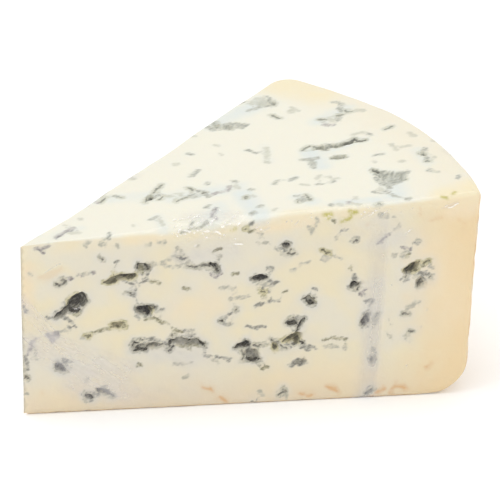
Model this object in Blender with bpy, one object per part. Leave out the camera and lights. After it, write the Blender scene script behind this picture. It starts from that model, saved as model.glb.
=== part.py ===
"""A wedge of blue cheese: an eighth of a wheel that was first halved level.

The tip is where the wheel's middle was, the curved rind stands opposite it. The top and the two
upright faces are cuts; the rind is on the curved wall and underneath. Veins of mould open as small
pockets in the cuts. Run it in Blender 4.5 with: blender --background --python part.py
Metres, +Z up. The origin is under the middle of the wedge's box, and the front cut lies along +X.
"""

import math
import random

import bmesh
import bpy
from mathutils import Matrix, Vector, noise
from mathutils.geometry import delaunay_2d_cdt

MM = 0.001

# Driving dimensions.
WHEEL_RADIUS = 100.5 * MM
WEDGE_ANGLE = math.radians(49)
TIP_HEIGHT = 40 * MM
RIM_HEIGHT = 48.1 * MM
WALL_LEAN = 2.7 * MM  # the rind stands in this much more at the base than at the top
LEAN_FROM = 0.55  # share of the wheel's radius where the lean sets in
BASE_RIM_RADIUS = 9 * MM  # the wheel's own rounded lower edge
FRONT_CORNER_RADIUS = 1.8 * MM  # upright edge between the front cut and the rind
BACK_CORNER_RADIUS = 6 * MM  # upright edge between the back cut and the rind
EDGE_SOFTNESS = 2 * MM  # rounding of the top's edges
TIP_SOFTNESS = 0.3 * MM  # the same at the tip, which stayed crisp
TIP_LENGTH = 25 * MM
PRESSED_SOFTNESS = 4.6 * MM  # where the top's front edge was pressed down
PRESSED_FROM = 24 * MM
PRESSED_TO = 58 * MM
PRESSED_RUN_OUT = 13 * MM  # over which the pressed stretch begins and ends
PRESSED_REACH = 18 * MM  # back from the front cut
BASE_CUT_SOFTNESS = 0.4 * MM  # rounding where the cuts meet the underside

# Slow waves that the wire left in the cuts, fading to nothing at the flat base.
WAVE_HEIGHT = 0.45 * MM
WAVE_LENGTH = 26 * MM
WAVE_FADE = 7 * MM

# Mesh spacing.
OUTLINE_STEP = 3.2 * MM
TOP_STEP = 5.5 * MM
BASE_STEP = 9 * MM
SIDE_LEVELS = 6
CORNER_STEPS = 4
TOP_FILLET_ROWS = 3
RIM_FILLET_ROWS = 6

# Mould pockets, in millimetres: along the cut from the tip, up from the base, length, height,
# tilt in degrees, depth.
FRONT_POCKETS = (
    (12.2, 26.6, 5.4, 3.2, 42, 2.8),
    (9.0, 24.1, 4.6, 1.3, 36, 1.6),
    (21.6, 31.7, 7.6, 1.4, 12, 1.9),
    (26.8, 33.9, 3.2, 2.2, -12, 1.5),
    (26.7, 23.9, 3.8, 2.3, -4, 2.6),
    (20.9, 20.6, 3.3, 1.3, 0, 1.5),
    (26.9, 15.2, 6.8, 1.7, 5, 1.3),
    (35.6, 15.9, 7.6, 1.8, -6, 1.7),
    (42.0, 33.4, 2.6, 1.0, -32, 1.3),
    (51.9, 30.0, 3.9, 1.4, -4, 2.4),
    (57.7, 37.5, 1.7, 1.2, -10, 1.6),
    (48.4, 14.5, 3.6, 1.5, 18, 1.5),
    (50.2, 12.0, 3.8, 2.8, -40, 1.9),
    (59.4, 15.6, 4.6, 1.8, 16, 1.9),
    (61.2, 18.9, 3.2, 0.9, 62, 1.0),
    (59.1, 19.4, 2.8, 1.3, 8, 1.1),
    (55.2, 14.0, 1.9, 1.3, -30, 1.1),
    (72.7, 27.5, 1.9, 1.5, -14, 1.8),
    (75.2, 19.1, 3.2, 1.6, 64, 2.0),
    (85.2, 30.8, 4.4, 1.9, 28, 2.4),
    (87.2, 27.3, 2.4, 1.7, 58, 1.3),
    (8.3, 11.2, 2.8, 1.8, -30, 1.5),
    (17.4, 4.9, 3.4, 1.4, -24, 1.3),
    (14.4, 3.9, 1.8, 1.1, -10, 1.2),
    (63.0, 24.2, 2.5, 1.3, -36, 1.2),
    (60.9, 9.7, 3.4, 1.3, 14, 0.9),
    (76.6, 9.4, 2.2, 1.3, 72, 0.9),
)
# On the top: along the front cut's direction, back from it, length, width, tilt, depth.
TOP_POCKETS = (
    (72.0, 33.6, 12.6, 1.7, 7, 1.1),
    (72.7, 27.5, 2.8, 2.0, 0, 1.4),
    (82.6, 14.6, 7.4, 5.0, -34, 1.0),
    (49.5, 50.2, 6.8, 2.2, -26, 0.8),
    (60.6, 60.2, 5.4, 3.0, 24, 0.7),
    (30.2, 17.8, 3.4, 1.8, 62, 0.9),
    (91.0, 24.4, 3.4, 1.6, -66, 0.7),
)
# The back cut was never seen, so its pockets are drawn at random with the front's sizes.
BACK_POCKET_COUNT = 14
BACK_POCKET_SEED = 7
BACK_POCKETS_ALONG = (8, 90)  # millimetres from the tip
BACK_POCKETS_UP = (4, 36)
BACK_POCKETS_TILT = (-25, 35)
BACK_POCKETS_APART = 9  # millimetres between two of them
BACK_POCKETS_STACKING = 1.6  # how many times closer they may lie above one another
POCKET_ROUGHNESS = 0.44
POCKET_LUMP_SCALE = 1.6
POCKET_SUBDIVISIONS = 2

PASTE_COLOUR = (0.86, 0.79, 0.62, 1)
PASTE_ROUGHNESS = 0.45


def smooth(value):
    """0 below 0, 1 above 1 and an S curve between."""
    t = min(1.0, max(0.0, value))
    return t * t * (3 - 2 * t)


def fillet(inset, radius):
    """How far a rounded edge falls away at this distance inside it."""
    if inset >= radius:
        return 0.0
    return radius - math.sqrt(max(0.0, radius**2 - (radius - inset) ** 2))


def fillet_rows(radius, count):
    """Insets at which equal turns of a rounded edge end, the last where the edge is flat."""
    return [radius * (1 - math.cos(math.pi / 2 * (i + 1) / count)) for i in range(count)]


def rounded_min(a, b, radius):
    """The smaller of two insets, where their corner is rounded to this radius."""
    if a < radius and b < radius:
        return radius - math.hypot(radius - a, radius - b)
    return min(a, b)


def cut_insets(x, y):
    """Distances of a plan point behind the front cut and in front of the back cut."""
    return y, x * math.sin(WEDGE_ANGLE) - y * math.cos(WEDGE_ANGLE)


def inset(x, y):
    """How far a plan point lies inside the wedge's outline."""
    front, back = cut_insets(x, y)
    rim = WHEEL_RADIUS - math.hypot(x, y)
    return min(
        rounded_min(front, rim, FRONT_CORNER_RADIUS),
        rounded_min(back, rim, BACK_CORNER_RADIUS),
    )


def corner(radius):
    """Plan points of the rounded corner where the front cut meets the rind."""
    centre_x = math.sqrt((WHEEL_RADIUS - radius) ** 2 - radius**2)
    first, last = -math.pi / 2, math.atan2(radius, centre_x)
    return [
        (
            centre_x + radius * math.cos(first + (last - first) * i / CORNER_STEPS),
            radius + radius * math.sin(first + (last - first) * i / CORNER_STEPS),
        )
        for i in range(CORNER_STEPS + 1)
    ]


def across_bisector(x, y):
    """The plan point mirrored from one cut to the other."""
    c, s = math.cos(WEDGE_ANGLE), math.sin(WEDGE_ANGLE)
    return x * c + y * s, x * s - y * c


def between(start, end):
    """Points from start to end at about the outline's spacing, without the end."""
    (x0, y0), (x1, y1) = start, end
    count = max(1, round(math.hypot(x1 - x0, y1 - y0) / OUTLINE_STEP))
    return [(x0 + (x1 - x0) * i / count, y0 + (y1 - y0) * i / count) for i in range(count)]


def plan_outline():
    """The wedge from above, anticlockwise from the tip."""
    tip = (0.0, 0.0)
    front_corner = corner(FRONT_CORNER_RADIUS)
    back_corner = [across_bisector(*p) for p in reversed(corner(BACK_CORNER_RADIUS))]
    first = math.atan2(front_corner[-1][1], front_corner[-1][0])
    last = math.atan2(back_corner[0][1], back_corner[0][0])
    count = round(WHEEL_RADIUS * (last - first) / OUTLINE_STEP)
    rind = [
        (
            WHEEL_RADIUS * math.cos(first + (last - first) * i / count),
            WHEEL_RADIUS * math.sin(first + (last - first) * i / count),
        )
        for i in range(1, count)
    ]
    return (
        between(tip, front_corner[0])
        + front_corner
        + rind
        + back_corner[:-1]
        + between(back_corner[-1], tip)
    )


def top_softness(x, y):
    """Rounding of the top's edge: crisp at the tip, and wide where the front was pressed down."""
    soft = TIP_SOFTNESS + (EDGE_SOFTNESS - TIP_SOFTNESS) * smooth(math.hypot(x, y) / TIP_LENGTH)
    begins = smooth((x - PRESSED_FROM) / PRESSED_RUN_OUT)
    ends = smooth((PRESSED_TO - x) / PRESSED_RUN_OUT)
    pressed = begins * ends * smooth(1 - y / PRESSED_REACH)
    return soft + (PRESSED_SOFTNESS - soft) * pressed


def top_height(x, y, inside):
    """Height of the top at a plan point that lies this far inside the outline."""
    slope = (RIM_HEIGHT - TIP_HEIGHT) / WHEEL_RADIUS
    return TIP_HEIGHT + slope * math.hypot(x, y) - fillet(inside, top_softness(x, y))


def base_height(x, y):
    """Height of the underside: the wheel's rounded edge, and a small rounding at the cuts."""
    rim = WHEEL_RADIUS - math.hypot(x, y)
    return fillet(rim, BASE_RIM_RADIUS) + fillet(min(cut_insets(x, y)), BASE_CUT_SOFTNESS)


def inward_rows(outline, distances):
    """Points inside the outline, at each of these distances from its points."""
    rows = []
    for i, (x, y) in enumerate(outline):
        before, after = outline[i - 1], outline[(i + 1) % len(outline)]
        along = Vector((after[0] - before[0], after[1] - before[1])).normalized()
        for distance in distances(x, y):
            px, py = x - along.y * distance, y + along.x * distance
            if inset(px, py) > 0.9 * distance:
                rows.append((px, py))
    return rows


def inner_grid(step, margin):
    """Points of a staggered grid that lie at least this far inside the outline."""
    points = []
    rows = int(WHEEL_RADIUS / step) + 1
    for row in range(rows):
        y = (row + 0.5) * step * math.sqrt(3) / 2
        for column in range(rows):
            x = (column + 0.5 * (row % 2)) * step
            if inset(x, y) > margin(x, y):
                points.append((x, y))
    return points


def add_cap(mesh, rim, outline, inner, height, upwards):
    """One of the two caps: triangles that fill the outline, whose vertices are rim, and pass
    through the inner points at the height that height() gives them."""
    plan = [Vector(p) for p in outline + inner]
    edges = [(i, (i + 1) % len(outline)) for i in range(len(outline))]
    inside_only = 1
    points, _, triangles, sources, _, _ = delaunay_2d_cdt(plan, edges, [], inside_only, 1e-7)
    made = []
    for point, source in zip(points, sources):
        on_rim = [i for i in source if i < len(outline)]
        if on_rim:
            made.append(rim[on_rim[0]])
        else:
            made.append(mesh.verts.new((point.x, point.y, height(point.x, point.y))))
    for triangle in triangles:
        mesh.faces.new([made[i] for i in (triangle if upwards else reversed(triangle))])


def add_sides(mesh, outline):
    """Upright quads round the outline. Returns the vertices of their lowest and highest rings."""
    rings = []
    for x, y in outline:
        low, high = base_height(x, y), top_height(x, y, 0.0)
        steps = [low + (high - low) * level / SIDE_LEVELS for level in range(SIDE_LEVELS + 1)]
        rings.append([mesh.verts.new((x, y, z)) for z in steps])
    for this, following in zip(rings, rings[1:] + rings[:1]):
        for level in range(SIDE_LEVELS):
            mesh.faces.new(
                (this[level], following[level], following[level + 1], this[level + 1])
            )
    return [ring[0] for ring in rings], [ring[-1] for ring in rings]


def leaned_and_waved(point):
    """The point moved in with the wall's lean, then by the slow waves of the cuts."""
    radius = math.hypot(point.x, point.y)
    near_rind = smooth((radius / WHEEL_RADIUS - LEAN_FROM) / (1 - LEAN_FROM))
    scale = 1 - near_rind * WALL_LEAN / WHEEL_RADIUS * (1 - point.z / RIM_HEIGHT)
    moved = Vector((point.x * scale, point.y * scale, point.z))
    above_base = smooth(point.z / WAVE_FADE)
    return moved + noise.noise_vector(point / WAVE_LENGTH) * WAVE_HEIGHT * above_base


def wedge_body():
    """The wedge without its mould pockets, tip at the origin."""
    outline = plan_outline()
    mesh = bmesh.new()
    low_ring, high_ring = add_sides(mesh, outline)

    def base_rows(x, y):
        if math.hypot(x, y) > WHEEL_RADIUS - BACK_CORNER_RADIUS / 2:
            return fillet_rows(BASE_RIM_RADIUS, RIM_FILLET_ROWS)
        return [BASE_CUT_SOFTNESS]

    top = inward_rows(outline, lambda x, y: fillet_rows(top_softness(x, y), TOP_FILLET_ROWS))
    top += inner_grid(TOP_STEP, lambda x, y: top_softness(x, y) + 0.6 * OUTLINE_STEP)
    add_cap(mesh, high_ring, outline, top, lambda x, y: top_height(x, y, inset(x, y)), True)

    base = inward_rows(outline, base_rows)
    for x, y in inner_grid(BASE_STEP, lambda x, y: 0.6 * BASE_STEP):
        if math.hypot(x, y) < WHEEL_RADIUS - 1.2 * BASE_RIM_RADIUS:
            base.append((x, y))
    add_cap(mesh, low_ring, outline, base, base_height, False)

    for vertex in mesh.verts:
        vertex.co = leaned_and_waved(vertex.co)
    return mesh


def material(name, colour, roughness):
    made = bpy.data.materials.new(name)
    made.use_nodes = True
    shader = made.node_tree.nodes["Principled BSDF"]
    shader.inputs["Base Color"].default_value = colour
    shader.inputs["Roughness"].default_value = roughness
    shader.inputs["Metallic"].default_value = 0
    return made


def linked_object(name, mesh):
    """A new object in the scene that holds this bmesh."""
    data = bpy.data.meshes.new(name)
    mesh.to_mesh(data)
    mesh.free()
    made = bpy.data.objects.new(name, data)
    bpy.context.scene.collection.objects.link(made)
    return made


def pocket_cutter(name, place, size, collection):
    """A rough flattened ball that leaves one mould pocket.

    place is a matrix whose X runs along the pocket and whose Y points into the cheese."""
    mesh = bmesh.new()
    bmesh.ops.create_icosphere(mesh, subdivisions=POCKET_SUBDIVISIONS, radius=1)
    offset = place.translation / MM
    for vertex in mesh.verts:
        vertex.co *= 1 + POCKET_ROUGHNESS * noise.noise(vertex.co * POCKET_LUMP_SCALE + offset)
    length, height, depth = size
    bmesh.ops.scale(mesh, vec=(length / 2, depth, height / 2), verts=mesh.verts)
    cutter = linked_object(name, mesh)
    cutter.matrix_world = place
    cutter.hide_render = True
    cutter.display_type = "WIRE"
    bpy.context.scene.collection.objects.unlink(cutter)
    collection.objects.link(cutter)


def on_upright_cut(angle, along, up, tilt):
    """Place on the cut that leaves the tip at this plan angle, its Y into the cheese."""
    facing = 1 if angle == 0 else -1
    turn = Matrix.Rotation(angle, 4, "Z")
    local = Matrix.Translation((along, 0, up)) @ Matrix.Rotation(-tilt, 4, "Y")
    return turn @ local @ Matrix.Diagonal((1, facing, 1, 1))


def on_top(x, y, tilt):
    """Place on the top, its Y down into the cheese."""
    ground = Matrix.Translation((x, y, top_height(x, y, inset(x, y))))
    return ground @ Matrix.Rotation(tilt, 4, "Z") @ Matrix.Rotation(-math.pi / 2, 4, "X")


def random_back_pockets():
    """Pockets for the back cut, kept apart, with sizes drawn from the front's."""
    rng = random.Random(BACK_POCKET_SEED)
    found = []
    while len(found) < BACK_POCKET_COUNT:
        along, up = rng.uniform(*BACK_POCKETS_ALONG), rng.uniform(*BACK_POCKETS_UP)
        gaps = [math.hypot(along - p[0], BACK_POCKETS_STACKING * (up - p[1])) for p in found]
        if min(gaps, default=math.inf) > BACK_POCKETS_APART:
            length, height, depth = (rng.choice(FRONT_POCKETS)[i] for i in (2, 3, 5))
            found.append((along, up, length, height, rng.uniform(*BACK_POCKETS_TILT), depth))
    return found


def cut_pockets(body):
    """Cuts every mould pocket out of the body, with one Boolean."""
    cutters = bpy.data.collections.new("pocket_cutters")
    bpy.context.scene.collection.children.link(cutters)
    cuts = [(0.0, p) for p in FRONT_POCKETS]
    cuts += [(WEDGE_ANGLE, p) for p in random_back_pockets()]
    for i, (angle, (along, up, length, height, tilt, depth)) in enumerate(cuts):
        place = on_upright_cut(angle, along * MM, up * MM, math.radians(tilt))
        size = (length * MM, height * MM, depth * MM)
        pocket_cutter(f"side_pocket_{i}", place, size, cutters)
    for i, (x, y, length, width, tilt, depth) in enumerate(TOP_POCKETS):
        place = on_top(x * MM, y * MM, math.radians(tilt))
        pocket_cutter(f"top_pocket_{i}", place, (length * MM, width * MM, depth * MM), cutters)
    difference = body.modifiers.new("mould_pockets", "BOOLEAN")
    difference.operation = "DIFFERENCE"
    difference.operand_type = "COLLECTION"
    difference.collection = cutters
    difference.solver = "EXACT"
    return cutters


def main():
    for old in list(bpy.data.objects):
        bpy.data.objects.remove(old)
    mesh = wedge_body()
    low = Vector(min(v.co[i] for v in mesh.verts) for i in range(3))
    high = Vector(max(v.co[i] for v in mesh.verts) for i in range(3))
    under_middle = Vector(((low.x + high.x) / 2, (low.y + high.y) / 2, low.z))
    wedge = linked_object("cheese_wedge", mesh)
    wedge.data.materials.append(material("blue_cheese_paste", PASTE_COLOUR, PASTE_ROUGHNESS))
    cutters = cut_pockets(wedge)
    for placed in [wedge, *cutters.objects]:
        placed.matrix_world = Matrix.Translation(-under_middle) @ placed.matrix_world
    wedge.data.shade_smooth()
    wedge.data.set_sharp_from_angle(angle=math.radians(40))


main()
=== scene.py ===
# %% [markdown]
# # A wedge of blue cheese under clear film
#
# This lesson dresses a plain solid wedge as the real thing: an eighth of a wheel of creamy blue
# cheese, cut with a wire, veined with mould, and tightly wrapped in clear film. The solid from the
# construction script is loaded first and never changed. Everything below is made in its frame, so
# a finished piece needs no fitting.

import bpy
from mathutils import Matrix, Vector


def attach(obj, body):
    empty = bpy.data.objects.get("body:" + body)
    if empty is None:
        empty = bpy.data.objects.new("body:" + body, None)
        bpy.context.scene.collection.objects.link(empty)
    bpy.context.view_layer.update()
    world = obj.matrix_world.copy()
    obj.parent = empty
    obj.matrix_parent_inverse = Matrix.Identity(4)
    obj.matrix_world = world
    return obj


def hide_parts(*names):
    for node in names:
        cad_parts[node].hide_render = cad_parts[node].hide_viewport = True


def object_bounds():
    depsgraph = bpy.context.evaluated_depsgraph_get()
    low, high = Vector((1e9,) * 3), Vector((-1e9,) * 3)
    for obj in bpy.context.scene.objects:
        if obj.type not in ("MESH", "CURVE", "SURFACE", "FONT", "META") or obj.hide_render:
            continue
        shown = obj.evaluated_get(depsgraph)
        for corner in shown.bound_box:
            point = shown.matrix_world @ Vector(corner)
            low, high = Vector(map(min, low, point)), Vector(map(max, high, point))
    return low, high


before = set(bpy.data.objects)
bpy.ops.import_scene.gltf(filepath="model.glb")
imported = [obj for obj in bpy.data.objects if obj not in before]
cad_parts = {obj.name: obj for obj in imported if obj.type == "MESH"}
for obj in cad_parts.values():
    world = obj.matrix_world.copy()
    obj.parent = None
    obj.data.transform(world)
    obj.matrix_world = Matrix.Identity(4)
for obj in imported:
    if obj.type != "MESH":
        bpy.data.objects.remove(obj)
cad_low, cad_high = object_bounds()
print("solid box in mm:", [round(1000 * c, 2) for c in (*cad_low, *cad_high)])

# %% [markdown]
# ## Units and small helpers
#
# Food is easiest to think about in millimetres, so the script works in millimetres from the
# wedge's tip and turns to metres only when a mesh is finished. The arrays are numpy arrays,
# because a formula then runs over a hundred thousand points at once.

# %% Imports, units and two curves
import math
import random

import bpy
import numpy as np
from mathutils import Vector, noise
from mathutils.bvhtree import BVHTree
from mathutils.geometry import delaunay_2d_cdt

MM = 0.001
NOISE_SEED = 1
noise.seed_set(NOISE_SEED)  # without a seed, vector noise starts from the clock


def smooth(value):
    """0 below 0, 1 above 1 and an S curve between."""
    t = np.clip(value, 0.0, 1.0)
    return t * t * (3 - 2 * t)


def fillet(inset, radius):
    """How far a rounded edge falls away at this distance inside it."""
    gap = np.maximum(0.0, radius - inset)
    return np.where(gap > 0, radius - np.sqrt(np.maximum(0.0, radius**2 - gap**2)), 0.0)


print("fillet of radius 2 at its very edge:", float(fillet(0.0, 2.0)))

# %% [markdown]
# ## The camera
#
# The photograph looks down on the front cut from a little to its left, from far away, because its
# upright edges stay nearly parallel. A long lens 1.2 m away gives that. The camera was fitted to
# the corners of the wedge: each named number below moves all of them, so few numbers place the
# whole view. The tip of the wedge stands in the lowest corner of the solid's box, and points
# measured from the tip are moved there.

# %% Where the tip stands, and the camera
TIP = Vector((cad_low.x, cad_low.y, 0.0)) / MM
VIEW_AZIMUTH = math.radians(-6.63)
VIEW_ELEVATION = math.radians(23.44)
VIEW_DISTANCE = 1200
VIEW_TARGET = Vector((50, 30, 22))
AIM_RIGHT = 3.42  # millimetres, because the photograph isn't centred on the wedge
AIM_UP = 1.8
LENS = 388.6  # on a 36 mm sensor

to_camera = Vector(
    (
        math.sin(VIEW_AZIMUTH) * math.cos(VIEW_ELEVATION),
        -math.cos(VIEW_AZIMUTH) * math.cos(VIEW_ELEVATION),
        math.sin(VIEW_ELEVATION),
    )
)
view_right = Vector((0, 0, 1)).cross(to_camera).normalized()
view_up = to_camera.cross(view_right)
camera_data = bpy.data.cameras.new("photo_view")
camera_data.lens = LENS
camera = bpy.data.objects.new("photo_view", camera_data)
aim = TIP + VIEW_TARGET + view_right * AIM_RIGHT + view_up * AIM_UP
camera.location = (TIP + VIEW_TARGET + to_camera * VIEW_DISTANCE) * MM
camera.rotation_euler = (camera.location - aim * MM).to_track_quat("Z", "Y").to_euler()
bpy.context.scene.collection.objects.link(camera)
bpy.context.scene.camera = camera
print("camera at", [round(c, 3) for c in camera.location])

# %% [markdown]
# ## The form of the wedge
#
# The wedge is a slice of a wheel, so its plan is two straight cuts and an arc. Its top is the cut
# that halved the wheel: it rises a little from the tip to the rind, and its edges are rounded,
# most where the front was pressed down. The underside keeps the wheel's own rounded rim. These
# are formulas, so the dense mesh here and the plain solid agree at every point.

# %% Driving sizes in millimetres
WHEEL_RADIUS = 100.5
WEDGE_ANGLE = math.radians(49)
TIP_HEIGHT = 40
RIM_HEIGHT = 48.1
WALL_LEAN = 2.7
LEAN_FROM = 0.55
BASE_RIM_RADIUS = 9
FRONT_CORNER_RADIUS = 1.8
BACK_CORNER_RADIUS = 6
EDGE_SOFTNESS = 2
TIP_SOFTNESS = 0.3
TIP_LENGTH = 25
PRESSED_SOFTNESS = 4.6
PRESSED_FROM = 24
PRESSED_TO = 58
PRESSED_RUN_OUT = 13
PRESSED_REACH = 18
BASE_CUT_SOFTNESS = 0.4
WAVE_HEIGHT = 0.45
WAVE_LENGTH = 26
WAVE_FADE = 7
TOP_SLOPE = (RIM_HEIGHT - TIP_HEIGHT) / WHEEL_RADIUS


def rounded_min(a, b, radius):
    """The smaller of two insets, where their corner is rounded to this radius."""
    in_corner = (a < radius) & (b < radius)
    return np.where(in_corner, radius - np.hypot(radius - a, radius - b), np.minimum(a, b))


def cut_insets(x, y):
    """Distances of plan points behind the front cut and in front of the back cut."""
    return y, x * math.sin(WEDGE_ANGLE) - y * math.cos(WEDGE_ANGLE)


def inset(x, y):
    """How far plan points lie inside the wedge's outline."""
    front, back = cut_insets(x, y)
    rim = WHEEL_RADIUS - np.hypot(x, y)
    at_front = rounded_min(front, rim, FRONT_CORNER_RADIUS)
    return np.minimum(at_front, rounded_min(back, rim, BACK_CORNER_RADIUS))


def top_softness(x, y):
    """Rounding of the top's edge: crisp at the tip, wide where the front was pressed down."""
    at_tip = smooth(np.hypot(x, y) / TIP_LENGTH)
    soft = TIP_SOFTNESS + (EDGE_SOFTNESS - TIP_SOFTNESS) * at_tip
    begins = smooth((x - PRESSED_FROM) / PRESSED_RUN_OUT)
    ends = smooth((PRESSED_TO - x) / PRESSED_RUN_OUT)
    pressed = begins * ends * smooth(1 - y / PRESSED_REACH)
    return soft + (PRESSED_SOFTNESS - soft) * pressed


def top_height(x, y, inside):
    """Height of the top at plan points that lie this far inside the outline."""
    return TIP_HEIGHT + TOP_SLOPE * np.hypot(x, y) - fillet(inside, top_softness(x, y))


def base_height(x, y):
    """Height of the underside: the wheel's rounded rim, and a small rounding at the cuts."""
    rim = WHEEL_RADIUS - np.hypot(x, y)
    return fillet(rim, BASE_RIM_RADIUS) + fillet(np.minimum(*cut_insets(x, y)), BASE_CUT_SOFTNESS)


at_rind = float(top_height(WHEEL_RADIUS, 0.0, BASE_RIM_RADIUS))
print("height at the rind:", round(at_rind, 2), "mm")

# %% [markdown]
# ### The outline from above
#
# The outline runs anticlockwise from the tip: along the front cut, round a small corner, along
# the rind, round a softer corner and back along the other cut. Its points are closest where
# veins reach the edge, because a vein is drawn later as a value on each point of the mesh.

# %% Outline points
FRONT_STEP = 0.38
RIND_STEP = 1.3
BACK_STEP = 0.6
FRONT_CORNER_STEPS = 7
BACK_CORNER_STEPS = 11


def corner(radius, steps):
    """Plan points of a rounded corner where the front cut meets the rind."""
    centre_x = math.sqrt((WHEEL_RADIUS - radius) ** 2 - radius**2)
    first, last = -math.pi / 2, math.atan2(radius, centre_x)
    turns = [first + (last - first) * i / steps for i in range(steps + 1)]
    return [(centre_x + radius * math.cos(a), radius + radius * math.sin(a)) for a in turns]


def across_bisector(x, y):
    """The plan point mirrored from one cut to the other."""
    c, s = math.cos(WEDGE_ANGLE), math.sin(WEDGE_ANGLE)
    return x * c + y * s, x * s - y * c


def between(start, end, step):
    """Points from start to end about this far apart, without the end."""
    count = max(1, round(math.dist(start, end) / step))
    shares = [i / count for i in range(count)]
    return [tuple(a + (b - a) * t for a, b in zip(start, end)) for t in shares]


def plan_outline():
    """The wedge from above, and the numbers of the points where the two cuts end."""
    front_corner = corner(FRONT_CORNER_RADIUS, FRONT_CORNER_STEPS)
    back_corner = [across_bisector(*p) for p in corner(BACK_CORNER_RADIUS, BACK_CORNER_STEPS)]
    back_corner.reverse()
    first = math.atan2(front_corner[-1][1], front_corner[-1][0])
    last = math.atan2(back_corner[0][1], back_corner[0][0])
    count = round(WHEEL_RADIUS * (last - first) / RIND_STEP)
    turns = [first + (last - first) * i / count for i in range(1, count)]
    rind = [(WHEEL_RADIUS * math.cos(a), WHEEL_RADIUS * math.sin(a)) for a in turns]
    tip = (0.0, 0.0)
    to_corner = between(tip, front_corner[0], FRONT_STEP)
    round_rind = front_corner + rind + back_corner[:-1]
    to_tip = between(back_corner[-1], tip, BACK_STEP)
    return to_corner + round_rind + to_tip, len(to_corner), len(to_corner + round_rind)


outline, front_end, back_start = plan_outline()
print(len(outline), "points round the wedge; the cuts end at points", front_end, "and", back_start)
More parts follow.
